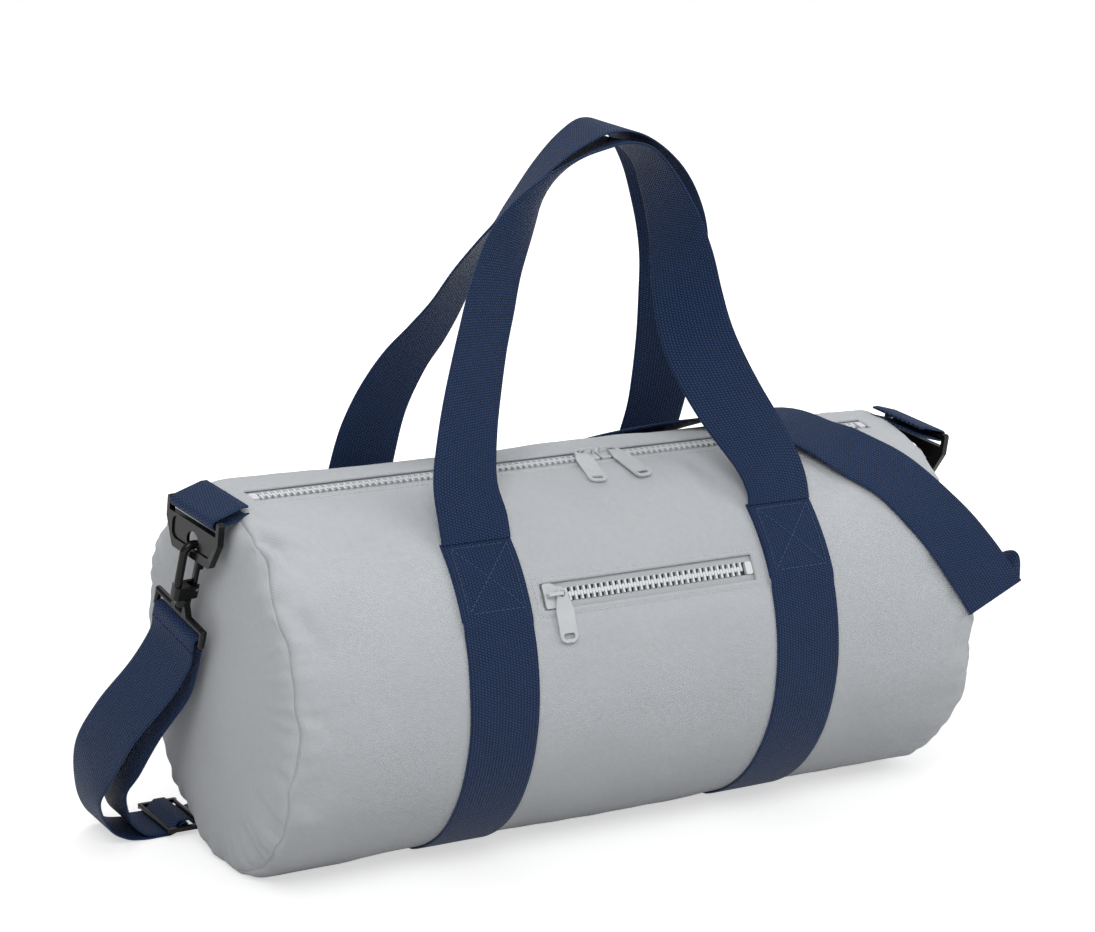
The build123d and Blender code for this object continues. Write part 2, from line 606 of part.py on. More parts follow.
def make_gate_pin():
    return GATE_PIVOT * rod(HOOK_BODY - 0.4, GATE_PIN)


FRAME_UPPER = -FRAME_DEPTH
FRAME_LOWER = FRAME_UPPER - FRAME_PITCH


def make_strap_frame():
    """The swivel's bottom frame: an eye on the hook's neck, an upper bar, and the strap's bar."""
    eye = Cylinder(EYE_RADIUS, EYE_HEIGHT) - Cylinder(NECK_RADIUS + SHAFT_FIT, 2 * EYE_HEIGHT)
    pieces = [Pos(0, 0, EYE_TOP - EYE_HEIGHT / 2) * eye]
    eye_low = EYE_TOP - EYE_HEIGHT
    side_x = (FRAME_WIDTH - FRAME_BAR) / 2
    gap = NECK_HEAD + CLEAR
    for s in (-1, 1):
        arm = Wire.make_polygon([
            Vector(s * gap, eye_low + 0.5), Vector(s * (EYE_RADIUS - 0.2), eye_low + 2.0),
            Vector(s * (EYE_RADIUS + 4.5), FRAME_UPPER), Vector(s * gap, FRAME_UPPER)])
        pieces.append(Pos(0, FRAME_BAR / 2, 0) * extrude(Plane.XZ * Face(arm), FRAME_BAR, dir=(0, -1, 0)))
        pieces.append(Pos(s * side_x, 0, (FRAME_UPPER + FRAME_LOWER) / 2)
                      * Cylinder(FRAME_BAR / 2, FRAME_PITCH))
        pieces.append(Pos(s * side_x, 0, FRAME_UPPER) * Sphere(FRAME_BAR / 2))
        pieces.append(Pos(s * side_x, 0, FRAME_LOWER) * Sphere(FRAME_BAR / 2))
    for level in (FRAME_UPPER, FRAME_LOWER):
        pieces.append(Pos(0, 0, level) * rod(2 * side_x, FRAME_BAR / 2))
    return fuse(*pieces)


def make_bar_loop(tail_in, tail_out):
    """The strap's turn round the lower bar of a swivel frame; both plies leave downwards."""
    inner = FRAME_BAR / 2 + CLEAR
    outer = inner + WEBBING
    ply = (inner + outer) / 2
    turn = (Circle(outer) - Circle(inner)) & Rectangle(4 * outer, 4 * outer, align=(Align.CENTER, Align.MIN))
    outline = turn + Pos(ply, -tail_out / 2) * Rectangle(WEBBING, tail_out)
    outline += Pos(-ply, -tail_in / 2) * Rectangle(WEBBING, tail_in)
    return Pos(0, 0, FRAME_LOWER) * along_x(outline, -WEBBING_WIDTH / 2, WEBBING_WIDTH / 2)


def ply_end(end, side):
    """Where a ply leaves the loop on a swivel frame: its middle, its width and its way out."""
    _, hook = clip_frames(end)
    ply = side * (FRAME_BAR / 2 + CLEAR + WEBBING / 2)
    centre = (hook * Pos(0, ply, FRAME_LOWER - LOOP_TAIL - PLY_GAP)).position
    below = (hook * Pos(0, ply, FRAME_LOWER - LOOP_TAIL - PLY_GAP - 1)).position
    beside = (hook * Pos(1, ply, FRAME_LOWER - LOOP_TAIL - PLY_GAP)).position
    return centre, beside - centre, (below - centre).normalized()


# ---- Shoulder strap -----------------------------------------------------------------------------
TRI_Z = 2 * WEBBING + 4 * SEAT + TRIGLIDE_BAR / 2      # bar height above the two plies below it
SEWN_IN = TRIGLIDE_BAR / 2 + SEAT
OVER_CENTRE = TRI_Z + SEWN_IN + WEBBING + SEAT + WEBBING / 2
TRI_ENTRY = TRIGLIDE[0] - TRIGLIDE_PITCH - 6.0
LOWER_PLY = SEAT + WEBBING / 2
UPPER_PLY = 2 * SEAT + 1.5 * WEBBING


def make_triglide():
    """The strap slider: a flat frame with three round bars across the strap."""
    rail = TRIGLIDE_BAR
    frame = RectangleRounded(2 * TRIGLIDE_PITCH + rail, TRIGLIDE_WIDTH, rail / 2 - 0.1)
    frame -= Rectangle(2 * TRIGLIDE_PITCH + 2 * rail, TRIGLIDE_WIDTH - 2 * rail)
    body = Pos(0, 0, -rail / 2 + 0.1) * extrude(frame, rail - 0.2, dir=(0, 0, 1))
    for x in (-TRIGLIDE_PITCH, 0, TRIGLIDE_PITCH):
        body += Pos(x, 0, 0) * Rot(90, 0, 0) * Cylinder(rail / 2 - 0.02, TRIGLIDE_WIDTH - rail)
    return Pos(TRIGLIDE[0], TRIGLIDE[1], TRI_Z) * body


def make_sewn_end():
    """The strap's sewn end: under the slider's end bar, round its centre bar and back on itself."""
    x, y = TRIGLIDE
    low = TRI_Z - SEWN_IN - WEBBING / 2
    flat = Vector(0, 1, 0)
    ply = ribbon([
        (Vector(TRI_ENTRY + SEAT, y, LOWER_PLY), flat), (Vector(x - TRIGLIDE_PITCH + 2, y, LOWER_PLY), flat),
        (Vector(x - 4, y, low), flat), (Vector(x, y, low), flat)])
    ring = Circle(SEWN_IN + WEBBING) - Circle(SEWN_IN)
    ring -= Pos(-10, -10) * Rectangle(20, 20)
    turn = extrude(Plane.XZ * ring, WEBBING_WIDTH, dir=(0, -1, 0))
    return ply + Pos(x, y + WEBBING_WIDTH / 2, TRI_Z) * turn


# Hand-set stations of the strap over the barrel: place along the bag, angle from the top.
STRAP_WRAP = [(-80, -92), (-10, -67), (38, -46), (84, -27)]
# The strap's free part: front and back edge as (x, height over the cloth, angle).
STRAP_EDGES = [
    ((126, 9.5, 4), (168, 9.0, -4)), ((150, 8.0, 25), (192, 9.0, 16)), ((170, 4.2, 36.5), (206, 8.5, 23)),
    ((190, 3.4, 46.6), (229, 5.0, 34.2)), ((210, 3.2, 62), (252, 3.4, 51.6)),
    ((225, 3.4, 74), (267, 4.0, 64)), ((241, 4.4, 86), (285, 4.6, 78))]


def wrap_station(before, here, after):
    """Centre and width direction of the strap where it follows the barrel."""
    radius = BARREL_RADIUS + STRAP_LIFT + WEBBING / 2
    run = (on_barrel(after[0], radius, after[1]) - on_barrel(before[0], radius, before[1])).normalized()
    centre = on_barrel(here[0], radius, here[1])
    outwards = (centre - Vector(here[0], 0, AXIS_Z)).normalized()
    return centre, outwards.cross(run)


def strap_path():
    """The main run: through the strap slider, up behind the bag, over the top and down to the fold."""
    x, y = TRIGLIDE
    flat = Vector(0, 1, 0)
    heights = [
        (TRI_ENTRY + SEAT, UPPER_PLY), (x - TRIGLIDE_PITCH + 1.5, UPPER_PLY), (x - 3.5, OVER_CENTRE),
        (x + 3.5, OVER_CENTRE), (x + TRIGLIDE_PITCH - 1.5, UPPER_PLY)]
    through = [(Vector(px, y, pz), flat) for px, pz in heights]
    path = [
        (Vector(x + TRIGLIDE_PITCH + 4, y, LOWER_PLY + 0.3), flat),
        (Vector(-228, 88, 2.6), Vector(0.0, 0.97, -0.05)),
        (Vector(-205, 103, 14), Vector(0.15, 0.85, -0.5)),
        (Vector(-182, 119, 36), Vector(0.5, 0.45, -0.74)),
        (Vector(-150, 129.5, 72), Vector(0.66, 0.1, -0.75))]
    wraps = [(-116, -103)] + STRAP_WRAP + [(128, -8)]
    for i in range(1, len(wraps) - 1):
        path.append(wrap_station(wraps[i - 1], wraps[i], wraps[i + 1]))
    for front, back in STRAP_EDGES:
        f = on_barrel(front[0], BARREL_RADIUS + front[1], front[2])
        b = on_barrel(back[0], BARREL_RADIUS + back[1], back[2])
        path.append(((f + b) * 0.5, b - f))
    return through + smoothed(path, steps=2)


def make_left_drop():
    """The two plies that hang from the left clip to the strap slider on the floor."""
    outer, wide, down = ply_end("left", 1)
    inner, _, _ = ply_end("left", -1)
    y = TRIGLIDE[1]
    flat = Vector(0, 1, 0) if wide.Y > 0 else Vector(0, -1, 0)
    outer_ply = ribbon(smoothed([
        (outer, wide), (outer + down * 12, wide), ((-290, 18, 122), wide), ((-306, 38, 92), wide),
        ((-315, 57, 62), wide), ((-315, 73, 34), flat), ((-306, 81, 13), flat), ((-294, y, 3.6), flat),
        ((-282, y, LOWER_PLY + 0.2), flat), ((TRI_ENTRY, y, LOWER_PLY), flat)]))
    inner_ply = ribbon(smoothed([
        (inner, wide), (inner + down * 10, wide), ((-277, 18, 122), wide), ((-289, 38, 92), wide),
        ((-297, 56, 64), wide), ((-298, 71, 38), flat), ((-292, 80, 17), flat),
        ((-284, y, 6.6), flat), ((-278, y, UPPER_PLY + 0.6), flat), ((TRI_ENTRY, y, UPPER_PLY), flat)]))
    return Compound(children=[outer_ply, inner_ply])


def make_right_return():
    """From the fold beside the right end back up to the right clip."""
    fold, wide = strap_path()[-1]
    wide = wide.normalized()
    end, bar, down = ply_end("right", 1)
    if bar.dot(wide) < 0:
        bar = bar * -1
    start = fold + Vector(0.3, 2.6, -0.6)
    low = end + down * 18 + Vector(3, -5, 0)
    return ribbon(smoothed([
        (start, wide), ((273, -122, 143), (0.85, 0.15, 0.51)), ((281, -110, 146), (0.55, -0.3, 0.78)),
        (low, wide * 0.1 + bar * 0.9), (end + down * 8, bar), (end, bar)]))


# ---- Assembly -----------------------------------------------------------------------------------
def add(name, shape):
    parts[name] = shape


add("barrel_panel", make_barrel())
add("end_cap_right", make_cap())
add("end_cap_left", mirror_x(make_cap()))
add("seam_binding_right", make_binding())
add("seam_binding_left", mirror_x(make_binding()))

for name, centre in (("left", -BAND_CENTRE), ("right", BAND_CENTRE)):
    add("webbing_band_" + name, make_band(centre - WEBBING_WIDTH / 2, centre + WEBBING_WIDTH / 2))
for name, side in (("front", 1), ("rear", -1)):
    tails = []
    for centre in (-BAND_CENTRE, BAND_CENTRE):
        tails.append(make_tail(side, centre - WEBBING_WIDTH / 2, centre + WEBBING_WIDTH / 2))
    add("handle_tails_" + name, Compound(children=tails))
add("handle_front", make_handle(1, FRONT_HANDLE))
add("handle_rear", make_handle(-1, REAR_HANDLE))

LEFT_X, RIGHT_X = SLIDER_X
MAIN_OPENING = [(LEFT_X + HEEL_END, LEFT_X + SHOULDER, RIGHT_X - SHOULDER, RIGHT_X - HEEL_END)]
POCKET_OPENING = [(POCKET_START - POCKET_OPEN_END - 2 * SLIDER_LENGTH, POCKET_START - POCKET_OPEN_END,
                   POCKET_SLIDER_X - SHOULDER, POCKET_SLIDER_X - HEEL_END)]
for name, front in (("front", True), ("rear", False)):
    add("main_zip_tape_" + name, make_tape(ZIP_ANGLE, ZIP_START - 8, ZIP_END + 8, front, MAIN_OPENING))
    add("main_zip_teeth_" + name, tooth_row(ZIP_ANGLE, ZIP_START + 8, ZIP_END - 8, front, MAIN_OPENING))
for name, front in (("lower", True), ("upper", False)):
    add("pocket_zip_tape_" + name,
        make_tape(POCKET_ANGLE, POCKET_START - 5, POCKET_END + 5, front, POCKET_OPENING))
    add("pocket_zip_teeth_" + name,
        tooth_row(POCKET_ANGLE, POCKET_START + 3, POCKET_END - 8, front, POCKET_OPENING))
add("main_zip_stops", Compound(children=[
    make_stop(ZIP_ANGLE, ZIP_START + 1, 1), make_stop(ZIP_ANGLE, ZIP_END - 1, -1)]))
add("pocket_zip_stop", make_stop(POCKET_ANGLE, POCKET_END - 0.4, -1))
add("pocket_lining", make_pouch())

MAIN_SLIDERS = (("left", LEFT_X, 1, MAIN_PULL_SWING[0]), ("right", RIGHT_X, -1, MAIN_PULL_SWING[1]))
for name, x, mouth, swing in MAIN_SLIDERS:
    add("main_slider_" + name, chain_place(ZIP_ANGLE, x) * make_slider(mouth))
    add("main_pull_" + name, pull_place(ZIP_ANGLE, x, -mouth, swing) * make_pull(PULL_LENGTH))
add("pocket_slider", chain_place(POCKET_ANGLE, POCKET_SLIDER_X) * make_slider(-1))
add("pocket_pull", pull_place(POCKET_ANGLE, POCKET_SLIDER_X, 1, 0) * make_pull(POCKET_PULL_LENGTH))

for end in ("left", "right"):
    ring_place, hook_place = clip_frames(end)
    add("ring_tab_" + end, make_tab(end))
    add("ring_" + end, ring_place * make_ring())
    add("snap_hook_" + end, hook_place * make_hook())
    add("hook_gate_" + end, hook_place * make_gate())
    add("gate_pin_" + end, hook_place * make_gate_pin())
    add("swivel_frame_" + end, hook_place * make_strap_frame())
add("strap_loop_left", clip_frames("left")[1] * make_bar_loop(LOOP_TAIL, LOOP_TAIL))
add("strap_loop_right", clip_frames("right")[1] * make_bar_loop(LONG_TAIL, LOOP_TAIL))
add("strap_slider", make_triglide())
add("strap_sewn_end", make_sewn_end())
add("shoulder_strap", ribbon(strap_path()))
add("strap_drop_left", make_left_drop())
add("strap_return_right", make_right_return())

if __name__ == "__main__":
    os.makedirs("parts", exist_ok=True)
    for name, shape in parts.items():
        export_step(shape, os.path.join("parts", name + ".step"))
    print(len(parts), "nodes")
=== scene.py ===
import json
from contextlib import contextmanager
from math import cos, degrees, pi, radians, sin

import bmesh
import bpy
import numpy as np
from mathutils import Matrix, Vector, noise


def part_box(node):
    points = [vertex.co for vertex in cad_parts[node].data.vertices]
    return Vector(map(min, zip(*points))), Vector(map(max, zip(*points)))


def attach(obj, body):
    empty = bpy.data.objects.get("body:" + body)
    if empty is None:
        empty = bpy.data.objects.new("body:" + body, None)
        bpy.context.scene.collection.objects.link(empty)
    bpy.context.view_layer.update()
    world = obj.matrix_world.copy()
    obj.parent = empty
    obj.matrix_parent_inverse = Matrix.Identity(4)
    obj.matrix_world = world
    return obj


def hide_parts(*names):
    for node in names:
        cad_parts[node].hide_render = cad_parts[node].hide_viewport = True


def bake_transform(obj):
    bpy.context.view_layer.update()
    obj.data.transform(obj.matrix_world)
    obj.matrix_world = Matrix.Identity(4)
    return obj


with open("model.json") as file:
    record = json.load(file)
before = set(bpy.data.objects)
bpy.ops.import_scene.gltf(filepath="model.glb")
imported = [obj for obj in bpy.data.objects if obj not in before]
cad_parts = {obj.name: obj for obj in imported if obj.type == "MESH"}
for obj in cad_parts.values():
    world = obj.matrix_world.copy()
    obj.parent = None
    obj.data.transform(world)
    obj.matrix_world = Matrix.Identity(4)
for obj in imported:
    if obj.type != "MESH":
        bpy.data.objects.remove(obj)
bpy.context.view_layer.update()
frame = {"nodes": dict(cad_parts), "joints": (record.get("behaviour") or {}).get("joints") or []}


# ---- Camera ----------------------------------------------------
# The viewpoint of a product photograph: from the left and a little above, on a long lens.
# The barrel's own outline in the picture gave its angles and its distance.
PICTURE_WIDTH = 1095
SENSOR = 36.0
FOCAL_PIXELS = 2711.6
VIEW_TURN = radians(-28.6)
VIEW_RISE = radians(12.66)
VIEW_DISTANCE = 1.8
AIM = Vector((-0.0139, 0, 0.2349))


def placed(name, data):
    """A new object with this camera, mesh or lamp, in the scene."""
    piece = bpy.data.objects.new(name, data)
    bpy.context.collection.objects.link(piece)
    return piece


camera = placed("camera", bpy.data.cameras.new("camera"))
towards_lens = Vector((
    sin(VIEW_TURN) * cos(VIEW_RISE), -cos(VIEW_TURN) * cos(VIEW_RISE), sin(VIEW_RISE)))
camera.location = AIM + towards_lens * VIEW_DISTANCE
camera.rotation_mode = "QUATERNION"
camera.rotation_quaternion = (-towards_lens).to_track_quat("-Z", "Y")
camera.data.sensor_width = SENSOR
camera.data.sensor_fit = "HORIZONTAL"
camera.data.lens = SENSOR * FOCAL_PIXELS / PICTURE_WIDTH
camera.data.clip_end = 50
bpy.context.scene.camera = camera
bpy.context.scene.view_settings.view_transform = "Standard"


# ---- Floor and light -------------------------------------------
# A white sweep in soft light: a key from the upper left, and weaker ones from the right and from
# above. The floor shows white to the lens and keeps the bag's soft shadow.


class Value:
    """A number that changes over a surface. Arithmetic on it adds the Math nodes."""

    def __init__(self, nodes, socket):
        self.nodes = nodes
        self.socket = socket

    def math(self, operation, *others):
        inputs = dict(enumerate((self,) + others))
        return self.nodes.node("ShaderNodeMath", {"operation": operation}, inputs)["Value"]

    def __add__(self, other):
        return self.math("ADD", other)

    def __sub__(self, other):
        return self.math("SUBTRACT", other)

    def __rsub__(self, other):
        return self.math("MULTIPLY", -1) + other

    def __mul__(self, other):
        return self.math("MULTIPLY", other)

    def __truediv__(self, other):
        return self.math("DIVIDE", other)

    __radd__ = __add__
    __rmul__ = __mul__

    def sine(self):
        return self.math("SINE")

    def size(self):
        return self.math("ABSOLUTE")

    def power(self, other):
        return self.math("POWER", other)

    def whole(self):
        return self.math("FLOOR")

    def remainder(self, other):
        return self.math("FLOORED_MODULO", other)


class Nodes:
    """The nodes of a material or a world, and the one method that makes them."""

    def __init__(self, owner):
        owner.use_nodes = True
        self.tree = owner.node_tree

    def put(self, socket, value):
        if isinstance(value, Value):
            self.tree.links.new(value.socket, socket)
        else:
            socket.default_value = value

    def node(self, kind, settings=None, inputs=None):
        made = self.tree.nodes.new(kind)
        for key, value in (settings or {}).items():
            setattr(made, key, value)
        for key, value in (inputs or {}).items():
            self.put(made.inputs[key], value)
        return {out.name: Value(self, out) for out in made.outputs if out.enabled}


class Finish(Nodes):
    """One material and its shader."""

    def __init__(self, name):
        self.material = bpy.data.materials.new(name)
        super().__init__(self.material)
        self.shader = self.tree.nodes["Principled BSDF"]

    def surface(self, **values):
        for key, value in values.items():
            self.put(self.shader.inputs[key.replace("_", " ").title().replace("Ior", "IOR")], value)

    def cloth_place(self):
        """Across and along the fabric, in metres, from the UV layer of a modelled piece."""
        place = self.node("ShaderNodeUVMap", {"uv_map": "fabric"})["UV"]
        apart = self.node("ShaderNodeSeparateXYZ", None, {"Vector": place})
        return apart["X"], apart["Y"], place

    def solid_place(self):
        return self.node("ShaderNodeTexCoord")["Object"]

    def grain(self, place, scale, detail=2.0, roughness=0.5):
        inputs = {"Vector": place, "Scale": scale, "Detail": detail, "Roughness": roughness}
        return self.node("ShaderNodeTexNoise", None, inputs)["Fac"]

    def blend(self, factor, first, second):
        """A colour between two; a Mix node keeps its colour sockets at 6 and 7."""
        inputs = {0: factor, 6: first, 7: second}
        return self.node("ShaderNodeMix", {"data_type": "RGBA"}, inputs)["Result"]

    def relief(self, height, depth, strength=1.0):
        inputs = {"Height": height, "Distance": depth, "Strength": strength}
        self.surface(normal=self.node("ShaderNodeBump", None, inputs)["Normal"])


FLOOR_SIZE = 12.0
FLOOR_COLOUR = (0.62, 0.62, 0.62, 1)
FLOOR_GLOW = 0.56
SHADOW_REACH = 0.6  # the floor is plain white beyond twice this
ROOM_LIGHT = 0.48  # what the white room gives the bag; the lens sees it as 1

floor_mesh = bpy.data.meshes.new("floor")
edge = FLOOR_SIZE / 2
floor_corners = [(-edge, -edge, 0), (edge, -edge, 0), (edge, edge, 0), (-edge, edge, 0)]
floor_mesh.from_pydata(floor_corners, [], [(0, 1, 2, 3)])
floor = placed("floor", floor_mesh)

paper = Finish("floor_paper")
paper.surface(base_color=FLOOR_COLOUR, roughness=1.0)
paper.shader.inputs["Specular IOR Level"].default_value = 0.0
rays = paper.node("ShaderNodeLightPath")
seen = rays["Is Camera Ray"].math("MAXIMUM", rays["Is Glossy Ray"])
seen = seen.math("MAXIMUM", rays["Is Transmission Ray"])
away = paper.node("ShaderNodeVectorMath", {"operation": "LENGTH"}, {0: paper.solid_place()})["Value"]
far = ((away - SHADOW_REACH) / SHADOW_REACH).math("MAXIMUM", 0.0).math("MINIMUM", 1.0)
strength = seen * (FLOOR_GLOW + far * (1 - FLOOR_GLOW))
white_glow = {"Color": (1, 1, 1, 1), "Strength": strength}
glow = paper.node("ShaderNodeEmission", None, white_glow)["Emission"]
lit = Value(paper, paper.shader.outputs[0])
both = paper.node("ShaderNodeAddShader", None, {0: lit, 1: glow})["Shader"]
paper.tree.links.new(both.socket, paper.tree.nodes["Material Output"].inputs["Surface"])
floor_mesh.materials.append(paper.material)

world = bpy.data.worlds.new("studio")
bpy.context.scene.world = world
room = Nodes(world)
to_lens = room.node("ShaderNodeLightPath")["Is Camera Ray"]
whiteness = {"Value": to_lens, "To Min": ROOM_LIGHT, "To Max": 1.0}
walls = room.tree.nodes["Background"]
room.put(walls.inputs["Color"], (1, 1, 1, 1))
room.put(walls.inputs["Strength"], room.node("ShaderNodeMapRange", None, whiteness)["Result"])


def soft_light(name, place, aim, size, watts):
    lamp = bpy.data.lights.new(name, "AREA")
    lamp.shape = "SQUARE"
    lamp.size = size
    lamp.energy = watts
    holder = placed(name, lamp)
    holder.location = place
    holder.rotation_mode = "QUATERNION"
    holder.rotation_quaternion = (Vector(aim) - Vector(place)).to_track_quat("-Z", "Y")


soft_light("key", (-1.1, -1.7, 2.1), (0, 0, 0.15), 1.4, 33)
soft_light("fill", (2.0, -1.5, 1.3), (0, 0, 0.15), 1.6, 17)
soft_light("top", (0.2, 0.9, 2.4), (0, 0, 0.2), 1.6, 18)


# ---- Cloth barrel ----------------------------------------------
# One panel of coated polyester canvas, rolled into a tube and sewn to a round of the same cloth
# at each end. It puckers into its end seams, sags on the floor, and is cut for two zips.
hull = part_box("barrel_panel")
RADIUS = (hull[1][1] - hull[0][1]) / 2
AXIS_Z = hull[1][2] - RADIUS
HALF = hull[1][0]
CLOTH_LOW = hull[0][2]
CLOTH = 0.0012
FLOOR_BEND = 0.0006  # how softly the cloth turns onto the floor
ROLL = 0.013  # how far before a seam the cloth starts to turn in
ROLL_DEPTH = 0.0052
GATHER = 0.0013  # puckers at the seams
SEAM_WAVE = 0.0009  # wider waves beside the seams
SWELL = 0.0012  # how far the barrel swells between the bands
CALM = 0.010  # the cloth lies smooth this far beside a band
ZIP_CALM = (0.012, 0.030)  # beside a zip it is smooth to the first and free from the second
POCKET_CALM = (0.012, 0.026)
MAIN_FADE = 0.008  # the folded edges die away this far beyond a zip's end
POCKET_FADE = 0.006
SLOT_BORDER = 0.006  # finer mesh this far beside a slot
SHIFT_REACH = 0.012  # how far from the seams they wander, pucker and wave
GATHER_REACH = 0.010
WAVE_REACH = 0.035
BAND_ROOM = 0.0017  # how far the bands hold the cloth off the floor
FLOOR_WAVE = 0.0003
MM = 0.001
UNEVEN = [(0.0015, 9, 1), (0.0009, 26, 2), (0.00025, 70, 3)]  # height, fineness and seed
CREASE_SCALE = 0.0014  # metres for each mm of a crease's depth
WELT_AT = 0.0012  # the cloth's folded edge along a zip, from the slot
WELT_WIDTH = 0.0014
SUNK = 0.00045  # the stitched line beside that edge
SUNK_AT = 0.0042
SUNK_WIDTH = 0.0010
MAIN_WELT = 0.00055
POCKET_WELT = 0.00065
BAND_X = 0.112
BAND_HALF = 0.024
ZIP_ANGLE = 10.0
POCKET_ANGLE = 62.0
SLOT_HALF = 0.0085
MAIN_SLOT = (-0.236, 0.226)
POCKET_SLOT = (-0.078, 0.078)
CREASES = [  # from (x, angle) to (x, angle), width and depth in mm
    ((-246, 27), (-228, 52), 5.0, -2.0), ((-243, 22), (-205, 33), 7.0, -1.5),
    ((-240, 34), (-236, 70), 4.5, -1.4), ((-234, 20), (-214, 20), 5.0, 1.2),
    ((-241, 44), (-222, 66), 6.0, 1.1), ((-140, 43), (-178, 24), 8.0, -1.1),
    ((-88, 42), (-60, 22), 7.0, -1.2), ((-138, 46), (-168, 52), 7.0, -0.7),
    ((42, 14), (50, 40), 7.0, -1.3), ((58, 14), (66, 44), 6.0, 1.0),
    ((74, 14), (80, 38), 7.0, -1.3), ((24, 16), (20, 42), 8.0, -0.9),
    ((88, 42), (60, 27), 7.0, -0.8), ((-20, 16), (-34, 40), 10.0, -0.7),
    ((140, 44), (176, 32), 8.0, -1.0), ((236, 60), (205, 76), 7.0, -1.4),
    ((240, 74), (214, 92), 6.0, -1.1), ((243, 88), (222, 108), 6.0, -1.1),
    ((-247, 3), (-224, -4), 5.0, -2.1), ((-247, 12), (-232, 9), 4.0, 1.6),
    ((-247, 31), (-214, 42), 4.5, -2.2), ((-247, 38), (-226, 52), 4.0, 1.5),
    ((-247, 52), (-222, 74), 4.5, -1.7), ((-244, 84), (-218, 96), 6.0, -1.0),
    ((-245, 112), (-215, 120), 7.0, -1.0), ((-243, -14), (-214, -24), 7.0, -1.4),
    ((-240, -34), (-206, -38), 8.0, -1.1), ((238, -12), (205, -20), 8.0, -1.2),
    ((240, -44), (212, -52), 7.0, -1.1), ((-60, -46), (-30, -74), 9.0, -0.9),
    ((52, -50), (20, -84), 9.0, -0.9), ((-243, -80), (-216, -92), 6.0, -1.0),
    ((244, -96), (214, -104), 7.0, -1.1), ((-136, -44), (-172, -36), 8.0, -0.9),
    ((136, -44), (170, -34), 8.0, -0.9),
]


def eased(value, low, high):
    t = np.clip((value - low) / (high - low), 0, 1)
    return t * t * (3 - 2 * t)


def rough(points, scale, seed):
    """Smooth noise at each point of an array of (x, y, z) rows, in -1 to 1."""
    shift = Vector((seed * 7.3, seed * 3.1, seed * 5.7))
    return np.array([noise.noise(Vector(p) * scale + shift) for p in points])


def gathers(angle, end):
    """Puckers round a seam, in -1 to 1; end is -1 for the left seam and 1 for the right."""
    a = np.radians(angle)
    turn = a * 41 + 2.2 * np.sin(a * 5 + end) + 1.3 * np.sin(a * 9 + 2 * end)
    return 0.6 * np.sin(turn) + 0.4 * np.sin(a * 67 + 3 * np.sin(a * 4 - end)) * np.cos(a * 3 + end)


def seam_shift(angle, end):
    """How far a seam wanders along the barrel."""
    a = np.radians(angle)
    return (0.0016 * np.sin(a * 6 + 1.3 * end) + 0.0011 * np.sin(a * 13 + end)
            + 0.0005 * np.sin(a * 29))


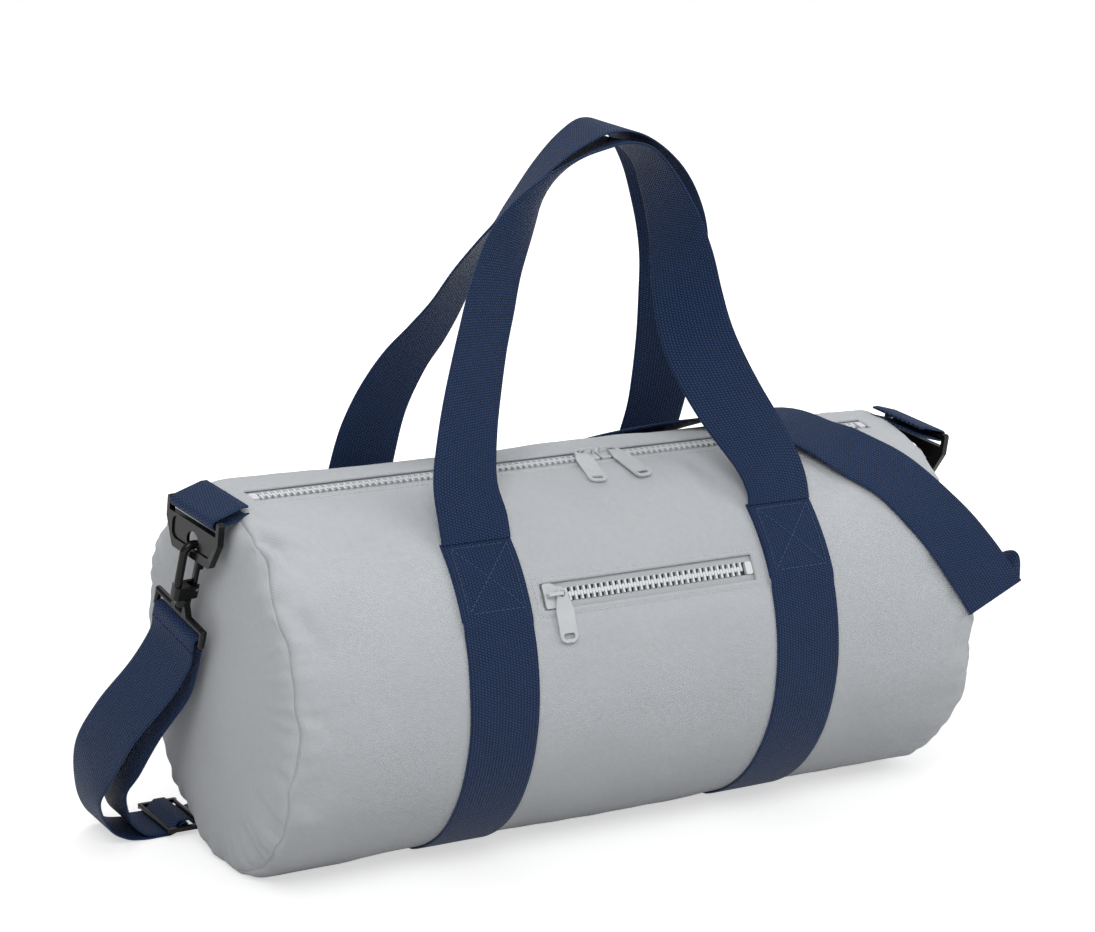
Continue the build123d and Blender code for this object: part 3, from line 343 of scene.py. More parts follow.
def cloth_surface(x, angle):
    """Points on the outside of the cloth, for arrays of places along and angles round the barrel."""
    x = np.asarray(x, float)
    angle = np.asarray(angle, float)
    end = np.where(x < 0, -1.0, 1.0)
    inset = HALF - np.abs(x)
    a = np.radians(angle)
    flat = np.stack([x, -RADIUS * np.sin(a), RADIUS * np.cos(a)], -1).reshape(-1, 3)
    from_band = np.abs(np.abs(x) - BAND_X)
    calm = 1 - np.exp(-((from_band / (BAND_HALF + CALM)) ** 8))
    main_zip = np.abs(angle - ZIP_ANGLE) * np.radians(1) * RADIUS
    pocket_zip = np.abs(angle - POCKET_ANGLE) * np.radians(1) * RADIUS
    in_pocket = eased(POCKET_SLOT[1] + POCKET_FADE - np.abs(x), 0, POCKET_FADE)
    in_main = eased(x, MAIN_SLOT[0] - MAIN_FADE, MAIN_SLOT[0])
    in_main = in_main * eased(-x, -MAIN_SLOT[1] - MAIN_FADE, -MAIN_SLOT[1])
    beside_pocket = in_pocket * (1 - eased(pocket_zip, *POCKET_CALM))
    zip_calm = eased(main_zip, *ZIP_CALM) * (1 - beside_pocket)
    lift = sum(height * rough(flat, scale, seed).reshape(x.shape) for height, scale, seed in UNEVEN)
    for (x0, a0), (x1, a1), width, depth in CREASES:
        start = np.array([x0 * MM, radians(a0) * RADIUS])
        run = np.array([x1 * MM, radians(a1) * RADIUS]) - start
        here = np.stack([x, a * RADIUS], -1) - start
        along = np.clip((here @ run) / (run @ run), 0, 1)
        away = np.linalg.norm(here - along[..., None] * run, axis=-1)
        bell = np.exp(-(away / (width * MM)) ** 2) * (1 - along) ** 0.7
        lift += depth * CREASE_SCALE * bell
    lift *= calm * zip_calm
    lift += SWELL * calm * zip_calm * np.cos(np.abs(x) / BAND_X * pi / 2) ** 2
    for distance, zone, top in (
            (main_zip, in_main, MAIN_WELT), (pocket_zip, in_pocket, POCKET_WELT)):
        lift += zone * top * np.exp(-((distance - SLOT_HALF - WELT_AT) / WELT_WIDTH) ** 2)
        lift -= zone * SUNK * np.exp(-((distance - SLOT_HALF - SUNK_AT) / SUNK_WIDTH) ** 2)
    roll = np.clip((ROLL - inset) / ROLL, 0, 1)
    lift -= ROLL_DEPTH * (1 - np.sqrt(np.clip(1 - roll ** 2, 0, 1)))
    puckers = GATHER * gathers(angle, end) * np.exp(-inset / GATHER_REACH)
    waves = SEAM_WAVE * np.sin(a * 17 + end * 2) * np.exp(-inset / WAVE_REACH)
    lift += puckers * (1 - 0.75 * eased(roll, 0.5, 1))
    lift += waves * (1 - eased(roll, 0.2, 1))
    radius = RADIUS + lift
    moved = x + seam_shift(angle, end) * np.exp(-(inset / SHIFT_REACH) ** 2)
    z = AXIS_Z + radius * np.cos(a)
    low = CLOTH_LOW + FLOOR_WAVE * (1 + np.sin(x * 90) * np.sin(angle * 0.35)) * calm
    low = low + BAND_ROOM * np.exp(-((from_band / (BAND_HALF + 0.0015)) ** 16))
    above = (z - low) / FLOOR_BEND
    turned = np.log1p(np.exp(np.clip(above, -40, 30)))
    z = low + np.where(above > 30, above, turned) * FLOOR_BEND
    return np.stack([moved, -radius * np.sin(a), z], -1)


def spaced(marks, step):
    """Values through every mark, with even steps no wider than the step in between."""
    values = [marks[0]]
    for low, high in zip(marks, marks[1:]):
        count = max(1, int(np.ceil((high - low) / step)))
        values += [low + (high - low) * k / count for k in range(1, count + 1)]
    return np.array(values)


def slot_angles(middle):
    half = degrees(SLOT_HALF / RADIUS)
    border = degrees(SLOT_BORDER / RADIUS)
    return [middle - half - border, middle - half, middle + half, middle + half + border]


def thickened(piece, thickness):
    shell = piece.modifiers.new("thickness", "SOLIDIFY")
    shell.thickness = thickness
    shell.offset = -1


def smooth_faces(mesh):
    mesh.polygons.foreach_set("use_smooth", [True] * len(mesh.polygons))


@contextmanager
def edited(mesh):
    edit = bmesh.new()
    edit.from_mesh(mesh)
    yield edit
    edit.to_mesh(mesh)
    edit.free()


def grid_object(name, points, uv, closed=False, keep=None):
    """A sheet through a grid of points; keep says which cells are cloth."""
    rows, columns = points.shape[:2]
    mesh = bpy.data.meshes.new(name)
    faces = []
    wrap = columns if closed else columns - 1
    for i in range(rows - 1):
        for j in range(wrap):
            if keep is None or keep[i, j]:
                k = (j + 1) % columns
                here, above = i * columns, (i + 1) * columns
                faces.append((here + j, here + k, above + k, above + j))
    mesh.from_pydata(points.reshape(-1, 3).tolist(), [], faces)
    layer = mesh.uv_layers.new(name="fabric")
    flat_uv = uv.reshape(-1, 2)
    for polygon in mesh.polygons:
        corners = [flat_uv[v].copy() for v in polygon.vertices]
        base = corners[0][1]
        for loop, corner in zip(polygon.loop_indices, corners):
            if closed and abs(corner[1] - base) > pi * RADIUS:
                corner[1] += 2 * pi * RADIUS * (1 if corner[1] < base else -1)
            layer.data[loop].uv = corner
    with edited(mesh) as cloth:
        loose = [v for v in cloth.verts if not v.link_faces]
        bmesh.ops.delete(cloth, geom=loose, context="VERTS")
    smooth_faces(mesh)
    return placed(name, mesh)


canvas = Finish("grey_canvas")
across, along, place = canvas.cloth_place()
TWILL = 0.00115
threads = ((across + along) * (2 * pi / TWILL)).sine() * 0.5 + 0.5
cross_threads = ((across - along) * (2 * pi / (TWILL * 1.7))).sine() * 0.5 + 0.5
fuzz = canvas.grain(place, 1400, 2)
cloudy = canvas.grain(place, 14, 3)
slub = canvas.grain(place, 240, 2)
shade = threads * 0.22 + cross_threads * 0.12 + fuzz * 0.14 + cloudy * 0.22 + slub * 0.20
shade = shade.math("MULTIPLY_ADD", 1.6, -0.2)
canvas.surface(
    base_color=canvas.blend(shade, (0.395, 0.415, 0.437, 1), (0.580, 0.600, 0.624, 1)),
    roughness=0.80 + fuzz * 0.12, sheen_weight=0.18, sheen_roughness=0.45)
canvas.shader.inputs["Specular IOR Level"].default_value = 0.28
canvas.relief(threads * 0.55 + cross_threads * 0.25 + fuzz * 0.35 + slub * 0.5, 0.00030, 0.9)

MESH_STEP = 0.0027
MESH_TURN = 1.15
FIRST_ANGLE = -160.0
LAST_ANGLE = FIRST_ANGLE + 360
ROLL_EDGE = 0.004
ends_x = [side * (HALF - inset) for side in (-1, 1) for inset in (0, ROLL_EDGE, ROLL)]
x_lines = spaced(sorted([*ends_x, *MAIN_SLOT, *POCKET_SLOT]), MESH_STEP)
marks_angle = [FIRST_ANGLE] + slot_angles(ZIP_ANGLE) + slot_angles(POCKET_ANGLE) + [LAST_ANGLE]
angle_lines = spaced(marks_angle, MESH_TURN)[:-1]
grid_x, grid_angle = np.meshgrid(x_lines, angle_lines, indexing="ij")
mid_x = (grid_x[:-1] + np.roll(grid_x, -1, 0)[:-1]) / 2
mid_angle = np.append(angle_lines[1:], LAST_ANGLE) / 2 + angle_lines / 2
slot_half_angle = degrees(SLOT_HALF / RADIUS)
cells = np.ones(grid_x.shape, bool)
for middle, (x0, x1) in ((ZIP_ANGLE, MAIN_SLOT), (POCKET_ANGLE, POCKET_SLOT)):
    in_slot = np.abs(mid_angle - middle)[None, :] < slot_half_angle
    cells[:-1] &= ~((mid_x > x0) & (mid_x < x1) & in_slot)
panel_points = cloth_surface(grid_x, grid_angle)
panel_uv = np.stack([grid_x, np.radians(grid_angle) * RADIUS], -1)
panel = grid_object("canvas_barrel", panel_points, panel_uv, closed=True, keep=cells)
thickened(panel, CLOTH)
panel.data.materials.append(canvas.material)
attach(panel, "root")
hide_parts("barrel_panel")


# ---- Round ends ------------------------------------------------
# Two rounds of the same canvas. Each bellies out, and gathers into the seam that it shares with the
# barrel; the tape that binds the seam's raw edges runs round inside.
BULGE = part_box("end_cap_right")[1][0] - HALF
ENDS = (("left", -1), ("right", 1))
ROUND_RADIUS = 0.119  # an end's cloth, inside the seam's turn
RIM_SWELL = 0.0046  # how far it swells just inside the seam
RIM_TURN = 0.005
RIM_FADE = 0.030
END_GATHER = 0.0013
END_UNEVEN = 0.0018
FOLD_SCALE = 0.0013  # metres for each mm of a fold's depth
FOLD_FADE = 0.00042  # metres for each mm of its reach
CAP_FOLDS = [  # angle, reach from the seam in mm, width in degrees, depth in mm
    (14, 62, 5.0, -2.4), (24, 48, 4.0, 1.6), (33, 55, 4.5, -1.8), (-2, 55, 5.0, -1.9),
    (-16, 40, 4.0, -1.3), (58, 36, 5.0, -1.2), (84, 30, 4.0, -1.0), (106, 40, 5.0, -1.4),
    (128, 36, 5.0, -1.4), (146, 46, 5.0, -1.6), (-52, 34, 5.0, -1.1), (-92, 34, 5.0, -1.0),
    (-120, 40, 5.0, -1.4), (-150, 38, 5.0, -1.3), (172, 34, 6.0, -1.2),
]


def cap_surface(share, angle, end):
    """Points on an end: share is 0 in the middle and 1 on the seam."""
    seam = cloth_surface(np.full_like(angle, end * HALF), angle)
    a = np.radians(angle)
    middle = np.array([end * HALF, 0, AXIS_Z])
    round_y, round_z = -ROUND_RADIUS * np.sin(a), AXIS_Z + ROUND_RADIUS * np.cos(a)
    round_seam = np.stack([np.full_like(a, end * HALF), round_y, round_z], -1)
    outwards = share[..., None]
    flat = middle + (round_seam - middle) * outwards + (seam - round_seam) * outwards ** 9
    depth_in = (1 - share) * RADIUS
    belly = BULGE * (1 - share ** 2.6) * (1 - 0.16 * np.cos(a) * share)
    belly += RIM_SWELL * (1 - np.exp(-depth_in / RIM_TURN)) * np.exp(-depth_in / RIM_FADE)
    belly += END_GATHER * gathers(angle, end) * np.exp(-depth_in / 0.012) * eased(depth_in, 0, 0.003)
    for fold_angle, reach, width, depth in CAP_FOLDS:
        turn = (angle - fold_angle + 180) % 360 - 180
        wide = width * (0.35 + depth_in / RIM_FADE)
        bell = np.exp(-(turn / wide) ** 2) * np.exp(-(depth_in / (reach * FOLD_FADE)) ** 2)
        belly += depth * FOLD_SCALE * bell * eased(depth_in, 0, 0.004)
    uneven = rough(flat.reshape(-1, 3), 14, 5 + end).reshape(share.shape)
    belly += END_UNEVEN * uneven * (1 - share ** 6)
    flat[..., 0] += end * belly
    return flat


for name, end in ENDS:
    inner_shares = np.linspace(0.03, 0.86, 34)
    rim_shares = np.linspace(0.87, 1.0, 20)
    shares = np.concatenate([[0.0], inner_shares, rim_shares])
    grid_share, cap_angle = np.meshgrid(shares, angle_lines, indexing="ij")
    cap_points = cap_surface(grid_share, cap_angle, end)
    cap_uv = np.stack([cap_points[..., 1], cap_points[..., 2]], -1)
    cap_points[0] = cap_points[0].mean(0)
    cap = grid_object("canvas_end_" + name, cap_points, cap_uv, closed=True)
    with edited(cap.data) as weld:
        bmesh.ops.remove_doubles(weld, verts=weld.verts, dist=1e-6)
        bmesh.ops.recalc_face_normals(weld, faces=weld.faces)
        if sum(f.normal.x * end for f in weld.faces) < 0:
            bmesh.ops.reverse_faces(weld, faces=weld.faces)
    smooth_faces(cap.data)
    thickened(cap, CLOTH)
    cap.data.materials.append(canvas.material)
    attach(cap, "root")
    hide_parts("end_cap_" + name)

tape_black = Finish("binding_tape")
_, tape_along, _ = tape_black.cloth_place()
BINDING_RIB = 0.0011
ribs = (tape_along * (2 * pi / BINDING_RIB)).sine() * 0.5 + 0.5
tape_black.surface(
    base_color=tape_black.blend(ribs, (0.020, 0.020, 0.024, 1), (0.048, 0.048, 0.054, 1)),
    roughness=0.88 - ribs * 0.1)
tape_black.relief(ribs, 0.0002, 0.6)

BINDING_WIDTH = 0.011
BINDING = 0.001
BINDING_GAP = 0.0016  # from the cloth's inside
ZIP_CLEAR = 20.0  # degrees that the tapes leave free on each side of the main zip
for name, end in ENDS:
    tape_x = end * (HALF - np.linspace(BINDING_WIDTH, 0.0015, 6))
    tape_angle = np.linspace(ZIP_ANGLE + ZIP_CLEAR, ZIP_ANGLE + 360 - ZIP_CLEAR, 150)
    bound_x, bound_angle = np.meshgrid(tape_x, tape_angle, indexing="ij")
    bound = cloth_surface(bound_x, bound_angle)
    inwards = np.array([0, 0, AXIS_Z]) - bound
    inwards[..., 0] = 0
    inwards /= np.linalg.norm(inwards, axis=-1, keepdims=True)
    bound = bound + inwards * (CLOTH + BINDING_GAP)
    bound_uv = np.stack([bound_x, np.radians(bound_angle) * RADIUS], -1)
    binding = grid_object("seam_tape_" + name, bound, bound_uv)
    thickened(binding, BINDING)
    binding.data.materials.append(tape_black.material)
    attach(binding, "root")
    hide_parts("seam_binding_" + name)


# ---- Stitching -------------------------------------------------
# Lock stitches in thick thread: grey along both zips, navy on the bands, where a box with a cross
# holds each handle end.
STITCH = 0.0027
STITCH_GAP = 0.0009
THREAD = 0.00032
STITCH_SIDES = 6
STITCH_RINGS = [  # share of its length, girth and rise
    (0.0, 0.55, -0.2), (0.2, 1.0, 0.5), (0.8, 1.0, 0.5), (1.0, 0.55, -0.2)]


def part_way(rows, travelled, at):
    """The row at a length along a line of rows."""
    return np.array([np.interp(at, travelled, rows[:, k]) for k in range(3)])


def stitched(name, lines, finish):
    """Short rounded stitches along lines of points; each line comes with its outward directions."""
    vertices = []
    faces = []
    for points, outward in lines:
        points = np.array(points)
        outward = np.array(outward)
        steps = np.linalg.norm(np.diff(points, axis=0), axis=1)
        travelled = np.concatenate([[0], np.cumsum(steps)])
        pitch = STITCH + STITCH_GAP
        for n in range(int(travelled[-1] / pitch)):
            rings = []
            for share, girth, rise in STITCH_RINGS:
                at = n * pitch + share * STITCH
                centre = part_way(points, travelled, at)
                up = part_way(outward, travelled, at)
                up /= np.linalg.norm(up)
                ahead = part_way(points, travelled, at + 1e-4) - centre
                if np.linalg.norm(ahead) < 1e-9:
                    ahead = points[-1] - points[-2]
                side = np.cross(ahead / np.linalg.norm(ahead), up)
                side /= np.linalg.norm(side)
                rings.append(len(vertices))
                for k in range(STITCH_SIDES):
                    turn = 2 * pi * k / STITCH_SIDES
                    offset = side * cos(turn) + up * sin(turn)
                    vertices.append(centre + up * rise * THREAD + offset * THREAD * girth)
            for low, high in zip(rings, rings[1:]):
                for k in range(STITCH_SIDES):
                    m = (k + 1) % STITCH_SIDES
                    faces.append((low + k, low + m, high + m, high + k))
            faces.append([rings[0] + k for k in reversed(range(STITCH_SIDES))])
            faces.append([rings[-1] + k for k in range(STITCH_SIDES)])
    mesh = bpy.data.meshes.new(name)
    mesh.from_pydata([tuple(v) for v in vertices], [], faces)
    smooth_faces(mesh)
    row = placed(name, mesh)
    mesh.materials.append(finish.material)
    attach(row, "root")


def thread_finish(name, dark, light):
    thread = Finish(name)
    twist = thread.grain(thread.solid_place(), 900, 2)
    colour = thread.blend(twist, dark, light)
    thread.surface(base_color=colour, roughness=0.50 + twist * 0.2, sheen_weight=0.2)
    return thread


def outward_of(points):
    away = np.array(points) - np.array([0, 0, AXIS_Z])
    away[..., 0] = 0
    return away / np.linalg.norm(away, axis=-1, keepdims=True)


grey_thread = thread_finish("grey_thread", (0.42, 0.44, 0.46, 1), (0.62, 0.64, 0.66, 1))
navy_thread = thread_finish("navy_thread", (0.012, 0.028, 0.075, 1), (0.030, 0.060, 0.14, 1))
STITCHED_AT = 0.004  # from the slot to its row of stitches
WELT_ROW = degrees((SLOT_HALF + STITCHED_AT) / RADIUS)
zip_rows = []
for middle, (x0, x1), reach in (
        (ZIP_ANGLE, MAIN_SLOT, 0.0), (POCKET_ANGLE, POCKET_SLOT, STITCHED_AT)):
    run = np.linspace(x0 - reach, x1 + reach, 160)
    for side in (-1, 1):
        row = cloth_surface(run, np.full_like(run, middle + side * WELT_ROW))
        zip_rows.append((row, outward_of(row)))
for x in (POCKET_SLOT[0] - STITCHED_AT, POCKET_SLOT[1] + STITCHED_AT):
    turn = np.linspace(POCKET_ANGLE - WELT_ROW, POCKET_ANGLE + WELT_ROW, 12)
    row = cloth_surface(np.full_like(turn, x), turn)
    zip_rows.append((row, outward_of(row)))
stitched("zip_stitching", zip_rows, grey_thread)


# ---- Webbing ---------------------------------------------------
# All bands, handles, tabs and the strap are navy polypropylene webbing, sold as 50 mm wide. It is
# woven with ribs along its length and fine picks across, and its edges are rounded.
WEB_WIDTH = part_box("webbing_band_left")[1][0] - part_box("webbing_band_left")[0][0]
WEB = 0.0016
WEB_GAP = 0.0001
WAVE_FINENESS = 26
EDGES_APART = 3.0  # keeps the two edges' waves different
CALM_ENDS = 4  # stations over which the waves fade out at each end
WEB_SHARP = radians(50)


def between(values, i, t):
    """The smooth curve's value between entries i and i + 1."""
    a = values[max(i - 1, 0)]
    b = values[i]
    c = values[i + 1]
    d = values[min(i + 2, len(values) - 1)]
    return (b * 2 + (c - a) * t + (a * 2 - b * 5 + c * 4 - d) * t ** 2
            + (b * 3 - a - c * 3 + d) * t ** 3) * 0.5


def smoothed(stations, steps):
    """More stations on a smooth curve through a ribbon's (centre, width direction) pairs."""
    centres = [Vector(c) for c, _ in stations]
    widths = [Vector(w).normalized() for _, w in stations]
    path = []
    for i in range(len(stations) - 1):
        for k in range(steps):
            path.append((between(centres, i, k / steps), between(widths, i, k / steps)))
    path.append((centres[-1], widths[-1]))
    return path


def web_outline():
    """Half-width and half-thickness shares round the webbing's cross-section, with rounded edges."""
    top = [(-1.0, 0.25), (-0.985, 0.8), (-0.95, 1.0)]
    top += [(t, 1.0) for t in (-0.75, -0.5, -0.25, 0.0, 0.25, 0.5, 0.75)]
    top += [(0.95, 1.0), (0.985, 0.8), (1.0, 0.25)]
    return top + [(w, -h) for w, h in reversed(top)]


def webbing(name, path, body, start_length=0.0, waves=0.0004, seed=0):
    """Webbing through (centre, width direction) stations, riding on one body if it is named."""
    outline = web_outline()
    vertices = []
    uvs = []
    travelled = start_length
    for n, (centre, direction) in enumerate(path):
        ahead = path[min(n + 1, len(path) - 1)][0] - path[max(n - 1, 0)][0]
        wide = direction.normalized()
        thick = wide.cross(ahead).normalized()
        if n:
            travelled += (centre - path[n - 1][0]).length
        fade = min(n, len(path) - 1 - n, CALM_ENDS) / CALM_ENDS
        for w, h in outline:
            edge = EDGES_APART if w > 0 else -EDGES_APART
            ripple = waves * fade * noise.noise(Vector((travelled * WAVE_FINENESS, edge, seed)))
            width = w * (WEB_WIDTH / 2 + ripple)
            vertices.append(centre + wide * width + thick * (h * WEB / 2 + ripple * 0.5 * w * w))
            uvs.append((width, travelled))
    count = len(outline)
    faces = []
    for n in range(len(path) - 1):
        here, after = n * count, (n + 1) * count
        for k in range(count):
            m = (k + 1) % count
            faces.append((here + k, here + m, after + m, after + k))
    faces.append(list(reversed(range(count))))
    faces.append([(len(path) - 1) * count + k for k in range(count)])
    mesh = bpy.data.meshes.new(name)
    mesh.from_pydata([tuple(v) for v in vertices], [], faces)
    layer = mesh.uv_layers.new(name="fabric")
    for polygon in mesh.polygons:
        for loop, v in zip(polygon.loop_indices, polygon.vertices):
            layer.data[loop].uv = uvs[v]
    with edited(mesh) as turned:
        bmesh.ops.recalc_face_normals(turned, faces=turned.faces)
    smooth_faces(mesh)
    mesh.set_sharp_from_angle(angle=WEB_SHARP)
    strip = placed(name, mesh)
    mesh.materials.append(navy.material)
    if body:
        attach(strip, body)
    return strip


navy = Finish("navy_webbing")
across, along, place = navy.cloth_place()
RIB = 0.0021
PICK = 0.0018
column = (across / RIB).whole()
rib = ((across * (pi / RIB)).sine()).size()
pick = (((along / PICK) + column.remainder(2) * 0.5) * pi).sine().size()
weave = rib.power(0.9) * pick.power(0.8)
worn = navy.grain(place, 60, 3)
lint = navy.grain(place, 1100, 2)
edge_rib = (across.size() / (WEB_WIDTH / 2)).power(14)
# The colour darkens in the gaps between ribs and picks, which is painted shade in the weave's
# hollows; wear and lint add random tone.
gap_shade_and_tone = (weave * 0.95 + worn * 0.20 + lint * 0.14).math("MULTIPLY_ADD", 1.25, -0.12)
navy.surface(
    base_color=navy.blend(gap_shade_and_tone, (0.0010, 0.0032, 0.0105, 1), (0.0135, 0.0400, 0.1180, 1)),
    roughness=0.62 - weave * 0.16 + lint * 0.1, sheen_weight=0.03, sheen_roughness=0.4)
navy.shader.inputs["Sheen Tint"].default_value = (0.45, 0.6, 1.0, 1)
navy.shader.inputs["Specular IOR Level"].default_value = 0.22
navy.relief(weave + lint * 0.2 - edge_rib * 0.4, 0.0006, 1.0)


# ---- Bands and handle ends -------------------------------------
# Two bands run under the barrel and up both sides, over the handles' sewn ends.
# Each is sewn down through the handle end by a box with a cross.
BAND_TOP = 43.0  # these are degrees from the top of the barrel
BAND_JOIN = 66.6
BAND_RAMP = 70.5
TAIL_END = 66.0
LIP = 0.9
BAND_STATIONS = 190
TAIL_STATIONS = 24
BAND_MID = RADIUS + WEB_GAP + WEB / 2
OVER_MID = BAND_MID + WEB + WEB_GAP


def band_points(angles, x, extra=0.0):
    """Points on the middle of a band, for angles from the top; extra lifts them off it."""
    out = 1 - eased(np.minimum(angles, 360 - angles), BAND_JOIN, BAND_RAMP)
    radius = BAND_MID + (OVER_MID - BAND_MID) * out + extra
    a = np.radians(angles)
    z = np.maximum(AXIS_Z + radius * np.cos(a), WEB / 2 - extra)
    return np.stack([np.full_like(a, x), -radius * np.sin(a), z], -1)


X_WAY = Vector((1, 0, 0))
for name, x in (("left", -BAND_X), ("right", BAND_X)):
    angles = np.linspace(BAND_TOP, 360 - BAND_TOP, BAND_STATIONS)
    stations = [(Vector(p), X_WAY) for p in band_points(angles, x)]
    band = webbing("band_" + name, stations, "root", waves=0.0005, seed=x * 100)
    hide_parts("webbing_band_" + name)

for name, side in (("front", 1), ("rear", -1)):
    for place_name, x in (("left", -BAND_X), ("right", BAND_X)):
        angles = np.radians(np.linspace(BAND_TOP - LIP, TAIL_END, TAIL_STATIONS)) * side
        tail_points = []
        for a in angles:
            tail_points.append((Vector((x, -BAND_MID * sin(a), AXIS_Z + BAND_MID * cos(a))), X_WAY))
        tail = webbing("handle_end_" + name + "_" + place_name, tail_points, "root", waves=0.0)
        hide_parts("handle_tails_" + name)

BOX_TOP = 44.6
BOX_LOW = 64.2
BOX_HALF = BAND_HALF - 0.0045
BOX_CORNERS = [(-BOX_HALF, BOX_TOP), (BOX_HALF, BOX_TOP), (BOX_HALF, BOX_LOW), (-BOX_HALF, BOX_LOW)]
BOX_STROKES = [(0, 1), (1, 2), (2, 3), (3, 0), (0, 2), (1, 3)]
box_rows = []
for x in (-BAND_X, BAND_X):
    for mirrored in (False, True):
        for first, second in BOX_STROKES:
            (u0, a0), (u1, a1) = BOX_CORNERS[first], BOX_CORNERS[second]
            share = np.linspace(0, 1, 14)
            turn = a0 + (a1 - a0) * share
            if mirrored:
                turn = 360 - turn
            row = band_points(turn, 0.0, WEB / 2)
            row[:, 0] = x + u0 + (u1 - u0) * share
            box_rows.append((row, outward_of(row)))
stitched("band_stitching", box_rows, navy_thread)


# ---- Handles ---------------------------------------------------
# Two grab handles of the same webbing. Each stands up from its sewn ends, leans in until both meet,
# and turns flat at the grip, where the rear one lies over the front one.
joint_by_name = {j["name"]: j for j in frame["joints"]}
LEAN = radians(19.7)
HANDLE_STEPS = 10
FRONT_HANDLE = [  # mm along the bag, mm up the leaning plane, degrees of twist
    (-112, -2.2, 0), (-112, 12, 0), (-113, 34, 8), (-108, 57, 14), (-99, 86, 20),
    (-86, 120, 25), (-74, 148, 28), (-58, 179, 36), (-37, 203, 54), (-10, 227, 84),
    (15, 242, 104), (34, 247, 110), (52, 238, 103), (61, 218, 91), (67, 191, 76),
    (69, 166, 62), (69, 137, 47), (73, 104, 32), (87, 68, 16), (105, 34, 3),
    (112, 12, 0), (112, -2.2, 0)]
REAR_HANDLE = [
    (-112, -2.2, 0), (-112, 12, 0), (-109, 42, -4), (-102, 69, -10), (-91, 93, -16),
    (-78, 112, -22), (-66, 134, -30), (-56, 161, -40), (-41, 190, -52), (-26, 211, -61),
    (-12, 230, -67), (5, 247, -73), (24, 257, -76), (46, 251, -72), (71, 226, -56),
    (90, 194, -38), (102, 162, -24), (108, 127, -14), (112, 90, -6), (114, 45, 0),
    (112, 12, 0), (112, -2.2, 0)]


def handle_stations(side, points, foot):
    rise = Vector((0, side * sin(LEAN), cos(LEAN)))
    normal = Vector((0, -cos(LEAN), side * sin(LEAN)))
    stations = []
    for i, (x, s, twist) in enumerate(points):
        before = points[max(i - 1, 0)]
        after = points[min(i + 1, len(points) - 1)]
        run = (X_WAY * (after[0] - before[0]) + rise * (after[1] - before[1])).normalized()
        flat = run.cross(normal).normalized()
        t = radians(twist)
        centre = Vector((x * MM, foot.y, foot.z)) + rise * s * MM
        stations.append((centre, flat * cos(t) - normal * sin(t) * side))
    return stations


for name, side, points in (("front", 1, FRONT_HANDLE), ("rear", -1, REAR_HANDLE)):
    foot = Vector(joint_by_name[name + "_handle_fold"]["pos_m"])
    path = smoothed(handle_stations(side, points, foot), HANDLE_STEPS)
    handle = webbing("grab_handle_" + name, path, name + "_handle", waves=0.0005, seed=side * 4)
    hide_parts("handle_" + name)


# ---- Zips ------------------------------------------------------
# Moulded acetal teeth on grey polyester tapes. The main zip has two cast sliders mouth to mouth, the
# pocket's has one, and each slider has a painted pull tab on its lug.
SHARP = radians(38)  # steeper edges than this are eased and stay crisp
FLAT = radians(2)  # faces that meet flatter than this are joined
SLIDER_EDGE = 0.00028
PULL_EDGE = 0.00035
TAPE_RIB = 0.0009


def softened(name, node, body, finish, edge, segments=2):
    """The node's own shape with its sharp edges eased, as a piece of its own."""
    source = frame["nodes"][node]
    shape = bmesh.new()
    shape.from_mesh(source.data)
    bmesh.ops.remove_doubles(shape, verts=shape.verts, dist=2e-6)
    bmesh.ops.dissolve_limit(shape, angle_limit=FLAT, verts=shape.verts, edges=shape.edges)
    mesh = bpy.data.meshes.new(name)
    shape.to_mesh(mesh)
    shape.free()
    smooth_faces(mesh)
    mesh.set_sharp_from_angle(angle=SHARP)
    piece = placed(name, mesh)
    bevel = piece.modifiers.new("eased_edges", "BEVEL")
    bevel.width = edge
    bevel.segments = segments
    bevel.limit_method = "ANGLE"
    bevel.angle_limit = SHARP
    bevel.use_clamp_overlap = True
    bevel.harden_normals = True
    mesh.materials.clear()
    mesh.materials.append(finish.material)
    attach(piece, body)
    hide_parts(node)


def dress(node, finish):
    """A CAD node keeps its shape and gets its finish."""
    target = frame["nodes"][node]
    target.data.materials.clear()
    target.data.materials.append(finish.material)


moulded = Finish("zip_teeth")
speckle = moulded.grain(moulded.solid_place(), 700, 2)
moulded.surface(
    base_color=moulded.blend(speckle, (0.60, 0.62, 0.64, 1), (0.74, 0.76, 0.78, 1)),
    roughness=0.30 + speckle * 0.15)
moulded.relief(speckle, 0.00005, 0.5)
for node in ("main_zip_teeth_front", "main_zip_teeth_rear", "pocket_zip_teeth_lower",
             "pocket_zip_teeth_upper", "main_zip_stops", "pocket_zip_stop"):
    dress(node, moulded)

zip_cloth = Finish("zip_tape")
tape_spot = zip_cloth.solid_place()
tape_x = zip_cloth.node("ShaderNodeSeparateXYZ", None, {"Vector": tape_spot})["X"]
fine = (tape_x * (2 * pi / TAPE_RIB)).sine() * 0.5 + 0.5
tape_fuzz = zip_cloth.grain(tape_spot, 900, 2)
# The tapes' own grey, lifted lighter: partly painted light that lifts the shade in the zip's gaps.
zip_cloth.surface(
    base_color=zip_cloth.blend(
        fine * 0.6 + tape_fuzz * 0.4, (0.38, 0.395, 0.41, 1), (0.52, 0.535, 0.55, 1)),
    roughness=0.82 + tape_fuzz * 0.1)
zip_cloth.relief(fine, 0.00015, 0.7)
for node in ("main_zip_tape_front", "main_zip_tape_rear", "pocket_zip_tape_lower",
             "pocket_zip_tape_upper"):
    dress(node, zip_cloth)

lining = Finish("pocket_lining")
lining_fuzz = lining.grain(lining.solid_place(), 600, 3)
